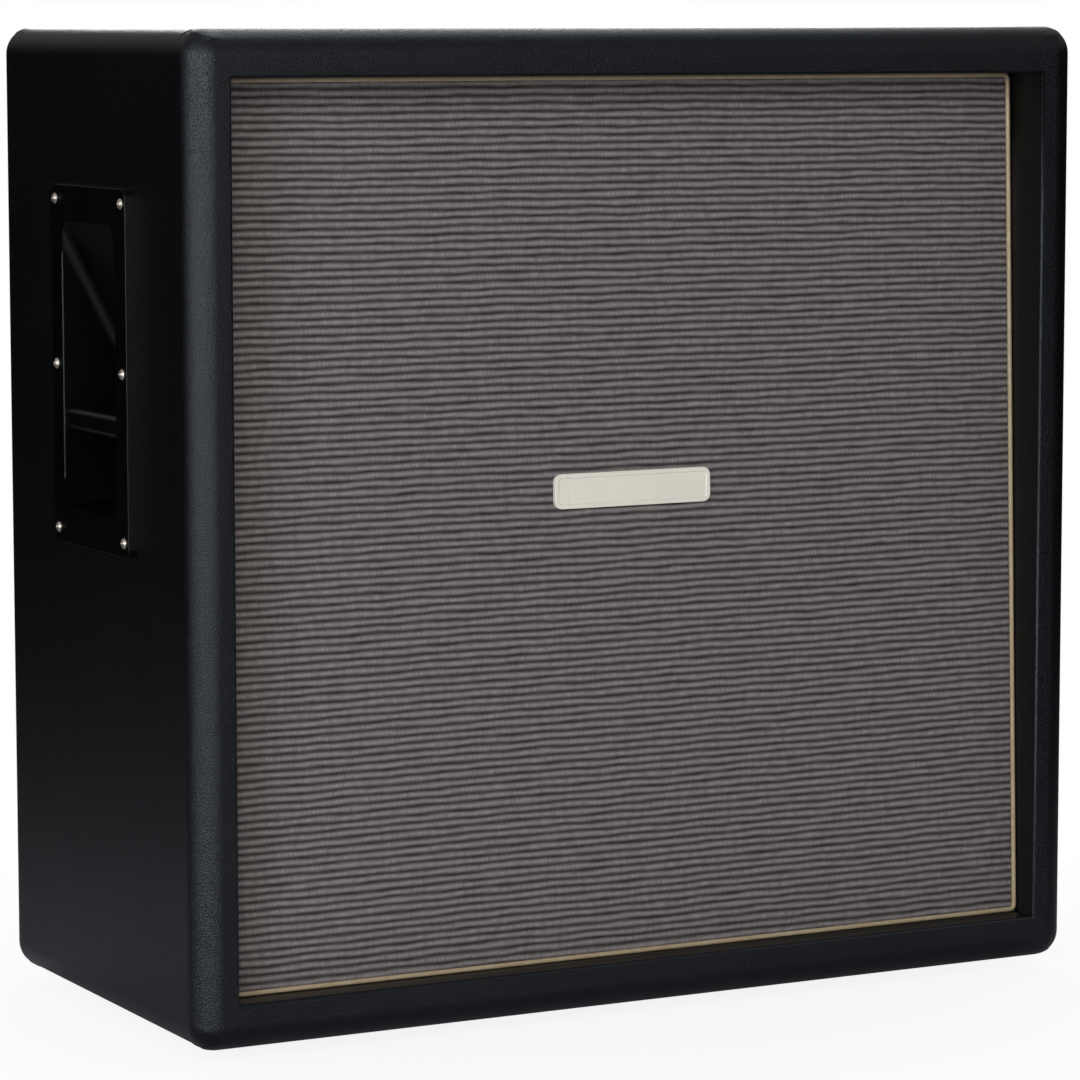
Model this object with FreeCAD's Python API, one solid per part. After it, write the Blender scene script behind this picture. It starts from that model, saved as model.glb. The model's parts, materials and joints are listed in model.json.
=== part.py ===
"""Closed-back guitar speaker cabinet with four twelve-inch drivers.

The frame: +Z is up, the front faces -Y, +X is to the right seen from the front, and the origin is
on the floor under the middle of the cabinet. All sizes are millimetres.

A finger-jointed box is wrapped in a thin covering. Battens behind its front edge make the wide
border, and a baffle leans back against them. The grille cloth lies on the baffle, with piping round
its edge. The drivers bolt to the back of the baffle, and a back panel closes the box.
"""

import FreeCAD, Part
import math
import os

vec = FreeCAD.Vector

# Cabinet, measured over the covering
cabinet_width = 740.0
cabinet_height = 725.0
cabinet_depth = 366.0
edge_radius = 20.0
covering_thickness = 1.0
board_thickness = 18.0
finger_count = 9

# Front border, and the recess from the front plane to the cloth at the top and bottom of the opening
side_lip_thickness = 12.0
level_lip_thickness = 15.0
lip_edge_radius = 2.0
recess_top = 48.0
recess_bottom = 26.0

# Baffle, cloth, piping and badge
baffle_thickness = 18.0
cloth_thickness = 0.8
panel_clearance = 1.0
piping_diameter = 3.6
piping_corner_radius = 4.0
piping_clearance = 0.1
badge_width = 132.0
badge_height = 26.0
badge_thickness = 3.0
badge_corner_radius = 6.0
badge_edge_radius = 1.0
badge_rise = 22.0
badge_pin_radius = 1.5
badge_pin_length = 8.0
badge_pin_spacing = 96.0

# Back panel and the cleats that it screws to
back_panel_thickness = 12.0
back_panel_setback = 6.0
cleat_size = 20.0
post_size = 45.0

# Side handles: flange, pocket and grip bar
handle_rise = 478.0
handle_forward = 10.6
handle_border_length = 21.0
handle_border_height = 26.5
handle_flange_thickness = 7.5
handle_flange_corner = 7.0
handle_flange_edge = 0.5
handle_wall = 3.0
handle_cutout_clearance = 0.5
pocket_length = 100.0
pocket_height = 212.0
pocket_depth = 60.0
pocket_round = 9.0
hood_foot_drop = 12.5
floor_back_height = 5.0
mouth_lead = 0.7
mouth_lead_margin = 16.0
grip_height = 16.5
grip_depth = 26.0
grip_round = 5.0
grip_setback = 1.5
grip_drop = 39.8
handle_screw_inset_length = 8.3
handle_screw_inset_height = 10.5

# Jack dish on the back panel
jack_rise = 170.0
dish_plate_size = 92.0
dish_plate_corner = 10.0
dish_plate_thickness = 2.5
dish_cup_radius = 31.0
dish_cup_depth = 24.0
dish_wall = 2.5
dish_clearance = 0.5
dish_screw_inset = 10.0
jack_bore_radius = 3.25
jack_bore_length = 34.0
jack_bush_radius = 4.75
jack_bush_reach = 6.0
jack_body_width = 22.0
jack_body_height = 24.0
jack_end_wall = 3.0
jack_nut_width = 14.0
jack_nut_thickness = 3.0

# Feet
foot_height = 10.0
foot_top_radius = 20.0
foot_bottom_radius = 17.0
foot_inset = 84.0
foot_recess_radius = 9.0
foot_recess_depth = 5.0

# Drivers: places on the baffle, then sizes by radius and by depth behind the baffle
driver_gap_x = 21.0
driver_gap_z = 16.0
driver_wall_clearance = 26.5
chassis_overlap = 13.0
bolts_per_driver = 4
gasket_thickness = 4.0
gasket_step = 0.5
surround_thickness = 0.8
surround_lip_step = 3.0
roll_count = 3
roll_width = 12.0
roll_height = 2.4
roll_clearance = 0.5
glue_flat = 4.0
cone_thickness = 1.0
cone_setback = 3.0
cone_depth = 50.0
cone_neck_length = 5.0
cap_radius = 40.0
cap_height = 14.0
cap_thickness = 0.8
chassis_thickness = 2.0
chassis_bowl_step = 2.5
chassis_bowl_depth = 16.0
landing_radius = 82.0
landing_depth = 70.0
cup_radius = 62.0
cup_length = 18.0
window_count = 6
window_width = 54.0
window_margin = 5.0
coil_radius = 25.4
former_wall = 0.4
coil_winding_wall = 0.6
coil_winding_length = 10.0
former_tail = 4.0
magnetic_gap = 0.6
pole_gap = 0.6
pole_vent_radius = 8.0
plate_radius = 58.0
plate_thickness = 6.0
magnet_radius = 70.0
magnet_inner_radius = 36.0
magnet_thickness = 18.0
spider_glue_margin = 4.0
spider_thickness = 0.8
spider_wave_count = 5
spider_wave_height = 3.0
spider_rise = 4.0
glue_gap = 0.05
terminal_width = 24.0
terminal_thickness = 3.0
terminal_seat = 14.0
terminal_reach = 18.0

# Wiring
lead_diameter = 4.0
lead_end_gap = 0.2
cable_diameter = 7.0
junction_width = 36.0
junction_height = 16.0
junction_length = 40.0
lead_pitch = 14.0
lower_lead_offset = 48.0
clip_length = 10.0
clip_wall = 4.0
clip_clearance = 0.1
clip_count = 2

# Screws, with how far each one bites into the last piece that it goes into
screw_radius = 2.1
screw_head_radius = 4.0
screw_head_height = 2.4
dish_screw_radius = 1.7
handle_screw_bite = 16.0
panel_screw_bite = 17.0
baffle_screw_bite = 11.0
foot_screw_bite = 12.0
dish_screw_bite = 8.5
cross_slot_width = 1.0
cross_slot_depth = 1.2
cross_slot_length = 4.4
screw_clearance = 0.05
screws_per_side = 4
screws_per_lip = 3

# Driver bolts and tee nuts
bolt_radius = 2.5
bolt_head_radius = 4.6
bolt_head_height = 4.0
bolt_tip_gap = 2.3
bolt_clearance = 0.5
tee_nut_flange_radius = 6.4
tee_nut_flange_thickness = 1.2
tee_nut_barrel_radius = 3.4
tee_nut_barrel_length = 9.0

# Places worked out from the sizes above
side_x = cabinet_width / 2
front_y = -cabinet_depth / 2
back_y = cabinet_depth / 2
base_z = foot_height
top_z = base_z + cabinet_height
inner_x = side_x - covering_thickness - board_thickness
inner_low = base_z + covering_thickness + board_thickness
inner_high = top_z - covering_thickness - board_thickness
opening_x = inner_x - side_lip_thickness - covering_thickness
opening_low = inner_low + level_lip_thickness + covering_thickness
opening_high = inner_high - level_lip_thickness - covering_thickness
middle_z = (opening_low + opening_high) / 2
panel_back_y = back_y - back_panel_setback - covering_thickness
panel_front_y = panel_back_y - back_panel_thickness
lining_x = inner_x - covering_thickness
lining_low = inner_low + covering_thickness
lining_high = inner_high - covering_thickness
baffle_back = cloth_thickness + baffle_thickness
handle_flange_length = pocket_length + 2 * handle_border_length
handle_flange_height = pocket_height + 2 * handle_border_height
handle_screw_length = handle_flange_thickness + covering_thickness + handle_screw_bite
panel_screw_length = covering_thickness + back_panel_thickness + panel_screw_bite
baffle_screw_length = baffle_back + baffle_screw_bite
foot_screw_length = foot_height - foot_recess_depth + covering_thickness + foot_screw_bite
dish_screw_length = dish_plate_thickness + covering_thickness + dish_screw_bite
far = cabinet_width + cabinet_height + cabinet_depth

# The baffle's own frame: origin on the cloth at the middle of the opening, +y into the cabinet
tilt = math.atan2(recess_top - recess_bottom, opening_high - opening_low)
baffle_frame = FreeCAD.Placement(
    vec(0, front_y + (recess_top + recess_bottom) / 2, middle_z),
    FreeCAD.Rotation(vec(1, 0, 0), -math.degrees(tilt)),
)


# Plain shapes

def block(x0, x1, y0, y1, z0, z1):
    return Part.makeBox(x1 - x0, y1 - y0, z1 - z0, vec(x0, y0, z0))


def centred_block(centre, size_x, size_y, size_z):
    corner = centre - vec(size_x / 2, size_y / 2, size_z / 2)
    return Part.makeBox(size_x, size_y, size_z, corner)


def rod(radius, length, start, direction):
    return Part.makeCylinder(radius, length, start, direction)


def placed(shape, placement):
    moved = shape.copy()
    moved.Placement = placement.multiply(moved.Placement)
    return moved


def on_baffle(shape):
    return placed(shape, baffle_frame)


def turned(points):
    """Solid of revolution about +Y of a closed outline of (radius, y) points."""
    corners = [vec(radius, y, 0) for radius, y in points]
    face = Part.Face(Part.makePolygon(corners + corners[:1]))
    return face.revolve(vec(0, 0, 0), vec(0, 1, 0), 360)


def ring(inner, outer, y0, y1):
    return turned([(inner, y0), (outer, y0), (outer, y1), (inner, y1)])


def rounded_plate(width, height, corner, y0, y1):
    """Plate in the x-z plane, centred on the y axis, with round corners."""
    plate = block(-width / 2, width / 2, y0, y1, -height / 2, height / 2)
    upright = [edge for edge in plate.Edges if abs(edge.tangentAt(edge.FirstParameter).y) > 0.5]
    return plate.makeFillet(corner, upright)


def rounded_path(points):
    """Wire of straight runs joined by tangent arcs, each as large as its two runs allow."""
    share = 0.45
    edges = []
    here = points[0]
    for before, corner, after in zip(points, points[1:], points[2:]):
        back = (before - corner).normalize()
        ahead = (after - corner).normalize()
        half_turn = (math.pi - back.getAngle(ahead)) / 2
        reach = share * min(corner.distanceToPoint(before), corner.distanceToPoint(after))
        radius = reach / math.tan(half_turn)
        bisector = (back + ahead).normalize()
        middle = corner + bisector * (radius / math.cos(half_turn) - radius)
        start = corner + back * reach
        end = corner + ahead * reach
        edges.append(Part.LineSegment(here, start).toShape())
        edges.append(Part.Arc(start, middle, end).toShape())
        print("bend radius", round(radius, 1))
        here = end
    edges.append(Part.LineSegment(here, points[-1]).toShape())
    return Part.Wire(edges)


def tube_along(wire, diameter):
    start = wire.Edges[0].valueAt(wire.Edges[0].FirstParameter)
    direction = wire.Edges[0].tangentAt(wire.Edges[0].FirstParameter)
    section = Part.Wire(Part.makeCircle(diameter / 2, start, direction))
    tube = wire.makePipeShell([section], True, False)
    expected = math.pi * diameter ** 2 / 4 * wire.Length
    print("tube length", round(wire.Length, 1), "volume share", round(tube.Volume / expected, 4))
    return tube


def screws(radius, length, places):
    """Screws with domed, cross-slotted heads. Each has its seat and the way that its shank runs."""
    dome_radius = (screw_head_radius ** 2 + screw_head_height ** 2) / (2 * screw_head_height)
    dome = Part.makeSphere(dome_radius, vec(0, dome_radius - screw_head_height, 0))
    head = dome.common(rod(screw_head_radius, screw_head_height, vec(0, 0, 0), vec(0, -1, 0)))
    shape = head.fuse(rod(radius, length, vec(0, 0, 0), vec(0, 1, 0)))
    floor = cross_slot_depth - screw_head_height
    wide = cross_slot_width / 2
    reach = cross_slot_length / 2
    shape = shape.cut(block(-reach, reach, -2 * screw_head_height, floor, -wide, wide))
    shape = shape.cut(block(-wide, wide, -2 * screw_head_height, floor, -reach, reach))
    turns = [FreeCAD.Placement(start, FreeCAD.Rotation(vec(0, 1, 0), way)) for start, way in places]
    return group(placed(shape, turn) for turn in turns)


def screw_holes(radius, length, places):
    gap = screw_clearance
    return [rod(radius + gap, length + gap, start, way) for start, way in places]


def group(shapes):
    return Part.makeCompound(list(shapes))


def spread(count, low, high):
    """Evenly spaced places between two ends, with half a step left at each end."""
    step = (high - low) / count
    return [low + step * (number + 0.5) for number in range(count)]


# Shell: covering, boards and battens

def shell_blank(inset):
    """Box with every edge rounded, set in from the outside of the covering."""
    blank = block(
        inset - side_x, side_x - inset,
        front_y + inset, back_y - inset,
        base_z + inset, top_z - inset,
    )
    return blank.makeFillet(edge_radius - inset, blank.Edges)


def behind(depth):
    """All the space behind a plane that lies this deep behind the front of the cloth."""
    return on_baffle(block(-far, far, depth, far, -far, far))


def wall_tube(x, low, high, y0, y1):
    """Square tube, one covering thick, that lines a rectangular opening from inside."""
    outer = block(
        -x - covering_thickness, x + covering_thickness, y0, y1,
        low - covering_thickness, high + covering_thickness,
    )
    return outer.cut(block(-x, x, y0, y1, low, high))


def covering():
    skin = shell_blank(0).cut(shell_blank(covering_thickness))
    skin = skin.cut(block(-opening_x, opening_x, front_y - 1, 0, opening_low, opening_high))
    skin = skin.cut(block(-lining_x, lining_x, 0, back_y + 1, lining_low, lining_high))
    reveal_back = front_y + max(recess_top, recess_bottom)
    reveal = wall_tube(opening_x, opening_low, opening_high, front_y, reveal_back).cut(behind(0))
    lining_back = back_y - covering_thickness / 2
    lining = wall_tube(lining_x, lining_low, lining_high, panel_front_y, lining_back)
    skin = skin.fuse([reveal, lining]).removeSplitter()
    rim = [edge for edge in skin.Edges if on_opening_rim(edge)]
    skin = skin.makeFillet(lip_edge_radius, rim)
    for side in (-1, 1):
        skin = skin.cut([handle_cutout(side)] + handle_screw_holes(side))
    return skin.cut(foot_screw_holes())


def on_opening_rim(edge):
    """True for the four edges where the front border turns into the opening."""
    near = 0.01
    middle = edge.CenterOfMass
    on_side = abs(abs(middle.x) - opening_x) < near and abs(middle.z - middle_z) < near
    on_level = min(abs(middle.z - opening_low), abs(middle.z - opening_high)) < near
    on_rim = on_side or (on_level and abs(middle.x) < near)
    return abs(middle.y - front_y) < near and on_rim


def carcass():
    hollow = block(-inner_x, inner_x, front_y - 1, back_y + 1, inner_low, inner_high)
    return shell_blank(covering_thickness).cut(hollow)


def corner_fingers(odd):
    """Every second finger of the four corner joints, as blocks along the depth."""
    length = (cabinet_depth - 2 * covering_thickness) / finger_count
    first = front_y + covering_thickness
    blocks = []
    for number in range(odd, finger_count, 2):
        y0 = first + length * number
        for x0, x1 in ((-side_x, -inner_x), (inner_x, side_x)):
            for z0, z1 in ((base_z, inner_low), (inner_high, top_z)):
                blocks.append(block(x0, x1, y0, y0 + length, z0, z1))
    return blocks


def side_panel(side, box):
    x0, x1 = sorted((side * inner_x, side * side_x))
    panel = box.common(block(x0, x1, front_y, back_y, base_z, top_z))
    return panel.cut(corner_fingers(1) + [handle_cutout(side)] + handle_screw_holes(side))


def top_panel(box):
    panel = box.common(block(-side_x, side_x, front_y, back_y, inner_high, top_z))
    return panel.cut(corner_fingers(0))


def bottom_panel(box):
    panel = box.common(block(-side_x, side_x, front_y, back_y, base_z, inner_low))
    return panel.cut(corner_fingers(0) + foot_screw_holes())


def front_lips():
    """Four battens that widen the front edge and stop the baffle, cut to the baffle's lean."""
    y0 = front_y + covering_thickness
    y1 = front_y + max(recess_top, recess_bottom)
    low = opening_low - covering_thickness
    high = opening_high + covering_thickness
    lip_x = opening_x + covering_thickness
    blanks = {
        "front_lip_top": block(-inner_x, inner_x, y0, y1, high, inner_high),
        "front_lip_bottom": block(-inner_x, inner_x, y0, y1, inner_low, low),
        "front_lip_left": block(-inner_x, -lip_x, y0, y1, low, high),
        "front_lip_right": block(lip_x, inner_x, y0, y1, low, high),
    }
    waste = [behind(0)] + baffle_screw_holes()
    inside = shell_blank(covering_thickness)
    return {name: blank.common(inside).cut(waste) for name, blank in blanks.items()}


def rear_cleats():
    y0 = panel_front_y - cleat_size
    waste = screw_holes(screw_radius, panel_screw_length, panel_screw_places())
    levels = []
    for z0 in (inner_low, inner_high - cleat_size):
        cleat = block(-inner_x, inner_x, y0, panel_front_y, z0, z0 + cleat_size)
        levels.append(cleat.cut(waste))
    uprights = []
    for x0 in (-inner_x, inner_x - cleat_size):
        cleat = block(x0, x0 + cleat_size, y0, panel_front_y, inner_low + cleat_size, inner_high - cleat_size)
        uprights.append(cleat.cut(waste))
    return levels, uprights


# Baffle, cloth, piping and badge

def baffle_slice(y0, y1):
    """Sheet that lies on the baffle's plane and fills the inside of the box, less its clearance."""
    sheet = on_baffle(block(-far, far, y0, y1, -far, far))
    room = block(
        panel_clearance - inner_x, inner_x - panel_clearance, front_y, back_y,
        inner_low + panel_clearance, inner_high - panel_clearance,
    )
    return sheet.common(room)


def baffle_screw_places():
    """Screws from the back of the baffle into the front battens."""
    side = opening_x + covering_thickness + side_lip_thickness / 2
    half_height = (opening_high - opening_low) / 2 / math.cos(tilt)
    level = half_height + covering_thickness + level_lip_thickness / 2
    places = []
    for z in spread(screws_per_lip, -half_height, half_height):
        places += [vec(x, baffle_back, z) for x in (-side, side)]
    for x in spread(screws_per_lip, -opening_x, opening_x):
        places += [vec(x, baffle_back, z) for z in (-level, level)]
    forward = baffle_frame.Rotation.multVec(vec(0, -1, 0))
    return [(baffle_frame.multVec(place), forward) for place in places]


def baffle_screw_holes():
    return screw_holes(screw_radius, baffle_screw_length, baffle_screw_places())


def badge_places():
    return [vec(side * badge_pin_spacing / 2, 0, badge_rise) for side in (-1, 1)]


def badge_pin_holes():
    radius = badge_pin_radius + screw_clearance
    length = badge_pin_length + screw_clearance
    return [on_baffle(rod(radius, length, place, vec(0, 1, 0))) for place in badge_places()]


def baffle_board():
    board = baffle_slice(cloth_thickness, baffle_back)
    waste = badge_pin_holes() + baffle_screw_holes()
    for x, z in driver_places():
        waste.append(on_baffle(rod(cutout_radius, far, vec(x, 0, z), vec(0, 1, 0))))
        for bolt_x, bolt_z in bolt_places(x, z):
            front = vec(bolt_x, cloth_thickness, bolt_z)
            barrel = tee_nut_barrel_radius + screw_clearance
            seat = tee_nut_flange_radius + screw_clearance
            waste.append(on_baffle(rod(barrel, baffle_thickness, front, vec(0, 1, 0))))
            waste.append(on_baffle(rod(seat, tee_nut_flange_thickness, front, vec(0, 1, 0))))
    return board.cut(waste)


def grille_cloth():
    return baffle_slice(0, cloth_thickness).cut(badge_pin_holes() + baffle_screw_holes())


def piping():
    """Round piping in the corner between the cloth and the walls of the opening."""
    radius = piping_diameter / 2
    gap = radius + piping_clearance
    lean = gap * math.sin(tilt)
    high = (opening_high - gap - middle_z - lean) / math.cos(tilt)
    low = (opening_low + gap - middle_z - lean) / math.cos(tilt)
    x = opening_x - gap
    outline = rounded_rectangle(-x, x, low, high, -gap, piping_corner_radius)
    section = Part.Wire(Part.makeCircle(radius, vec(0, -gap, low), vec(1, 0, 0)))
    return on_baffle(outline.makePipeShell([section], True, True))


def rounded_rectangle(x0, x1, z0, z1, y, radius):
    """Closed wire in the x-z plane that starts in the middle of its lowest side."""
    middle = (x0 + x1) / 2
    slant = radius * (1 - math.sqrt(0.5))
    corners = [
        (vec(x1 - radius, y, z0), vec(x1 - slant, y, z0 + slant), vec(x1, y, z0 + radius)),
        (vec(x1, y, z1 - radius), vec(x1 - slant, y, z1 - slant), vec(x1 - radius, y, z1)),
        (vec(x0 + radius, y, z1), vec(x0 + slant, y, z1 - slant), vec(x0, y, z1 - radius)),
        (vec(x0, y, z0 + radius), vec(x0 + slant, y, z0 + slant), vec(x0 + radius, y, z0)),
    ]
    edges = []
    here = vec(middle, y, z0)
    for start, between, end in corners:
        edges.append(Part.LineSegment(here, start).toShape())
        edges.append(Part.Arc(start, between, end).toShape())
        here = end
    edges.append(Part.LineSegment(here, vec(middle, y, z0)).toShape())
    return Part.Wire(edges)


def badge():
    """Plain plate with rounded corners and two pins that go through the cloth into the baffle."""
    plate = rounded_plate(badge_width, badge_height, badge_corner_radius, -badge_thickness, 0)
    face_edges = [edge for edge in plate.Edges if abs(edge.CenterOfMass.y + badge_thickness) < 0.01]
    plate = plate.makeFillet(badge_edge_radius, face_edges)
    plate.translate(vec(0, 0, badge_rise))
    pins = [rod(badge_pin_radius, badge_pin_length, place, vec(0, 1, 0)) for place in badge_places()]
    return on_baffle(plate.fuse(pins))


# Back panel and post

def panel_screw_places():
    """Screws through the back panel into the cleats."""
    y = panel_back_y + covering_thickness
    edge_x = inner_x - cleat_size / 2
    ends = (inner_low + cleat_size / 2, inner_high - cleat_size / 2)
    places = []
    for x in spread(screws_per_side, -edge_x, edge_x):
        places += [vec(x, y, z) for z in ends]
    for z in spread(screws_per_side, ends[0], ends[1]):
        places += [vec(x, y, z) for x in (-edge_x, edge_x)]
    return [(place, vec(0, -1, 0)) for place in places]


def post_screw_places():
    """Two screws through the back panel into the end of the post."""
    y = panel_back_y + covering_thickness
    return [(vec(x, y, middle_z), vec(0, -1, 0)) for x in (-post_size / 4, post_size / 4)]


def dish_screw_places():
    y = panel_back_y + covering_thickness + dish_plate_thickness
    half = dish_plate_size / 2 - dish_screw_inset
    centre_z = middle_z + jack_rise
    return [(vec(x, y, centre_z + z), vec(0, -1, 0)) for x in (-half, half) for z in (-half, half)]


def back_panel_waste():
    hole = rod(
        dish_cup_radius + dish_wall + dish_clearance, far,
        vec(0, 0, middle_z + jack_rise), vec(0, 1, 0),
    )
    panel_holes = screw_holes(screw_radius, panel_screw_length, panel_screw_places() + post_screw_places())
    return [hole] + panel_holes + dish_screw_holes()


def dish_screw_holes():
    return screw_holes(dish_screw_radius, dish_screw_length, dish_screw_places())


def back_panel_sheet(y0, y1):
    gap = panel_clearance
    sheet = block(gap - lining_x, lining_x - gap, y0, y1, lining_low + gap, lining_high - gap)
    return sheet.cut(back_panel_waste())


def centre_post():
    """Brace from the back of the baffle to the back panel."""
    half = post_size / 2
    post = block(-half, half, front_y, panel_front_y, middle_z - half, middle_z + half)
    post = post.common(behind(baffle_back))
    return post.cut(screw_holes(screw_radius, panel_screw_length, post_screw_places()))


# Side handles

def handle_frame(side):
    """Handle's own frame: +y into the cabinet, z up, origin on the outside of the flange's middle."""
    outside = vec(side * (side_x + handle_flange_thickness), -handle_forward, base_z + handle_rise)
    return FreeCAD.Placement(outside, FreeCAD.Rotation(vec(0, 0, 1), side * 90))


def pocket_prism(length, grow):
    """Sloping hood, back wall and rising floor, grown by a wall and open well outside the flange."""
    half = pocket_height / 2
    mouth = -2 * handle_flange_thickness
    outline = [
        (mouth, half),
        (0, half),
        (pocket_depth, -hood_foot_drop),
        (pocket_depth, floor_back_height - half),
        (mouth, floor_back_height * mouth / pocket_depth - half),
    ]
    corners = [vec(-length / 2, y, z) for y, z in outline]
    face = Part.Face(Part.makePolygon(corners + corners[:1]))
    if grow > 0:
        face = face.makeOffset2D(grow, 2)
    return face.extrude(vec(length, 0, 0))


def pocket_hollow():
    """Space inside the pocket, with a small lead-in along both ends of its mouth."""
    prism = pocket_prism(pocket_length, 0)
    inner = [edge for edge in prism.Edges if edge.BoundBox.YMax > 0.01]
    half_x = pocket_length / 2
    half_z = pocket_height / 2 - mouth_lead_margin
    narrow = rounded_rectangle(-half_x, half_x, -half_z, half_z, mouth_lead, pocket_round)
    half_x += 2 * mouth_lead
    half_z += 2 * mouth_lead
    wide = rounded_rectangle(-half_x, half_x, -half_z, half_z, -mouth_lead, pocket_round)
    lead = Part.makeLoft([narrow, wide], True, True)
    return prism.makeFillet(pocket_round, inner).fuse(lead)


def pocket_body(extra):
    """Outside of the pocket's walls, grown by an extra gap, from inside the flange inwards."""
    grow = handle_wall + extra
    prism = pocket_prism(pocket_length + 2 * grow, grow)
    return prism.common(block(-far, far, handle_flange_thickness / 2, far, -far, far))


def handle_cutout(side):
    return placed(pocket_body(handle_cutout_clearance), handle_frame(side))


def handle_screw_spots():
    half = handle_flange_length / 2 - handle_screw_inset_length
    step = handle_flange_height / 2 - handle_screw_inset_height
    return [vec(x, 0, z) for x in (-half, half) for z in (-step, 0, step)]


def handle_screw_places(side):
    frame = handle_frame(side)
    inward = frame.Rotation.multVec(vec(0, 1, 0))
    return [(frame.multVec(spot), inward) for spot in handle_screw_spots()]


def handle_screw_holes(side):
    return screw_holes(screw_radius, handle_screw_length, handle_screw_places(side))


def grip_bar():
    bar = block(
        -pocket_length / 2, pocket_length / 2, grip_setback, grip_setback + grip_depth,
        -grip_drop - grip_height / 2, -grip_drop + grip_height / 2,
    )
    lengthwise = [edge for edge in bar.Edges if abs(edge.tangentAt(edge.FirstParameter).x) > 0.5]
    return bar.makeFillet(grip_round, lengthwise)


def handle(side):
    """One moulding: flange, pocket with a sloping hood, and the grip bar across it."""
    flange = rounded_plate(
        handle_flange_length, handle_flange_height, handle_flange_corner, 0, handle_flange_thickness
    )
    face_edges = [edge for edge in flange.Edges if abs(edge.CenterOfMass.y) < 0.01]
    flange = flange.makeFillet(handle_flange_edge, face_edges)
    shape = flange.fuse(pocket_body(0)).cut(pocket_hollow()).fuse(grip_bar()).removeSplitter()
    return placed(shape, handle_frame(side)).cut(handle_screw_holes(side))


# Jack dish

def jack_centre(y):
    return vec(0, y, middle_z + jack_rise)


def dish_floor_y():
    """Outer face of the floor of the jack dish's cup."""
    return panel_back_y + covering_thickness + dish_plate_thickness - dish_cup_depth


def jack_dish():
    seat = panel_back_y + covering_thickness
    rim = seat + dish_plate_thickness
    plate = rounded_plate(dish_plate_size, dish_plate_size, dish_plate_corner, seat, rim)
    floor = dish_floor_y()
    cup = ring(0, dish_cup_radius + dish_wall, floor - dish_wall, seat)
    hollow = ring(0, dish_cup_radius, floor, rim)
    bush_hole = ring(0, jack_bush_radius + screw_clearance, floor - dish_wall, floor)
    shape = plate.fuse(cup).cut(hollow).cut(bush_hole)
    shape.translate(jack_centre(0))
    return shape.cut(dish_screw_holes())


def jack_body_y():
    """Back and front of the jack's body, behind the floor of the dish."""
    front = dish_floor_y() - dish_wall
    length = jack_bore_length + jack_end_wall - dish_wall - jack_bush_reach
    return front - length, front


def jack_socket():
    y0, y1 = jack_body_y()
    tip = dish_floor_y() + jack_bush_reach
    body = centred_block(vec(0, (y0 + y1) / 2, 0), jack_body_width, y1 - y0, jack_body_height)
    bush = ring(0, jack_bush_radius, y1, tip)
    bore = ring(0, jack_bore_radius, tip - jack_bore_length, tip)
    socket = body.fuse(bush).cut(bore)
    socket.translate(jack_centre(0))
    return socket


def jack_nut():
    floor = dish_floor_y()
    corner = jack_nut_width / math.sqrt(3)
    angles = [math.radians(60 * number) for number in range(6)]
    points = [vec(corner * math.cos(angle), floor, corner * math.sin(angle)) for angle in angles]
    prism = Part.Face(Part.makePolygon(points + points[:1])).extrude(vec(0, jack_nut_thickness, 0))
    nut = prism.cut(ring(0, jack_bush_radius + screw_clearance, floor, floor + jack_nut_thickness))
    nut.translate(jack_centre(0))
    return nut


# Feet

def foot_centres():
    x = side_x - foot_inset
    y = back_y - foot_inset
    return [vec(sx * x, sy * y, 0) for sx in (-1, 1) for sy in (-1, 1)]


def foot_screw_places():
    return [(centre + vec(0, 0, foot_recess_depth), vec(0, 0, 1)) for centre in foot_centres()]


def foot_screw_holes():
    return screw_holes(screw_radius, foot_screw_length, foot_screw_places())


def rubber_foot(centre):
    foot = Part.makeCone(foot_bottom_radius, foot_top_radius, foot_height, centre, vec(0, 0, 1))
    recess = rod(foot_recess_radius, foot_recess_depth, centre, vec(0, 0, 1))
    return foot.cut([recess] + foot_screw_holes())


# Drivers, in a frame with +y along the axis into the cabinet and y zero at the back of the baffle

def driver_places():
    half_x = chassis_radius + driver_gap_x / 2
    half_z = chassis_radius + driver_gap_z / 2
    return [(x, z) for z in (half_z, -half_z) for x in (-half_x, half_x)]


def driver_frame(x, z):
    return baffle_frame.multiply(FreeCAD.Placement(vec(x, baffle_back, z), FreeCAD.Rotation()))


def bolt_places(x, z):
    first = math.pi / bolts_per_driver
    angles = [first + 2 * math.pi * number / bolts_per_driver for number in range(bolts_per_driver)]
    return [
        (x + bolt_circle_radius * math.cos(angle), z + bolt_circle_radius * math.sin(angle))
        for angle in angles
    ]


def bolt_holes():
    radius = bolt_radius + bolt_clearance
    return [rod(radius, far, vec(x, -far / 2, z), vec(0, 1, 0)) for x, z in bolt_places(0, 0)]


driver_room_x = inner_x - driver_gap_x / 2
driver_room_z = (inner_high - inner_low) / 2 - driver_gap_z / 2
chassis_radius = (min(driver_room_x, driver_room_z) - driver_wall_clearance) / 2
cutout_radius = chassis_radius - chassis_overlap
bolt_circle_radius = cutout_radius + chassis_overlap / 2
chassis_bowl_radius = cutout_radius - chassis_bowl_step
cone_edge_radius = chassis_bowl_radius - chassis_thickness - roll_clearance - roll_width
surround_front = gasket_thickness
flange_front = surround_front + surround_thickness
flange_back = flange_front + chassis_thickness
cone_front = flange_front + cone_setback
neck_front = cone_front + cone_depth
landing_back = landing_depth + chassis_thickness
plate_front = landing_back + cup_length
magnet_front = plate_front + plate_thickness
magnet_back = magnet_front + magnet_thickness
former_radius = coil_radius + former_wall
winding_radius = former_radius + coil_winding_wall
plate_hole_radius = winding_radius + magnetic_gap
pole_radius = coil_radius - pole_gap
former_end = magnet_front + former_tail
bolt_length = flange_back + baffle_thickness - bolt_tip_gap


def gasket():
    shape = ring(cutout_radius + gasket_step, chassis_radius - gasket_step, 0, gasket_thickness)
    return shape.cut(bolt_holes())


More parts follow.
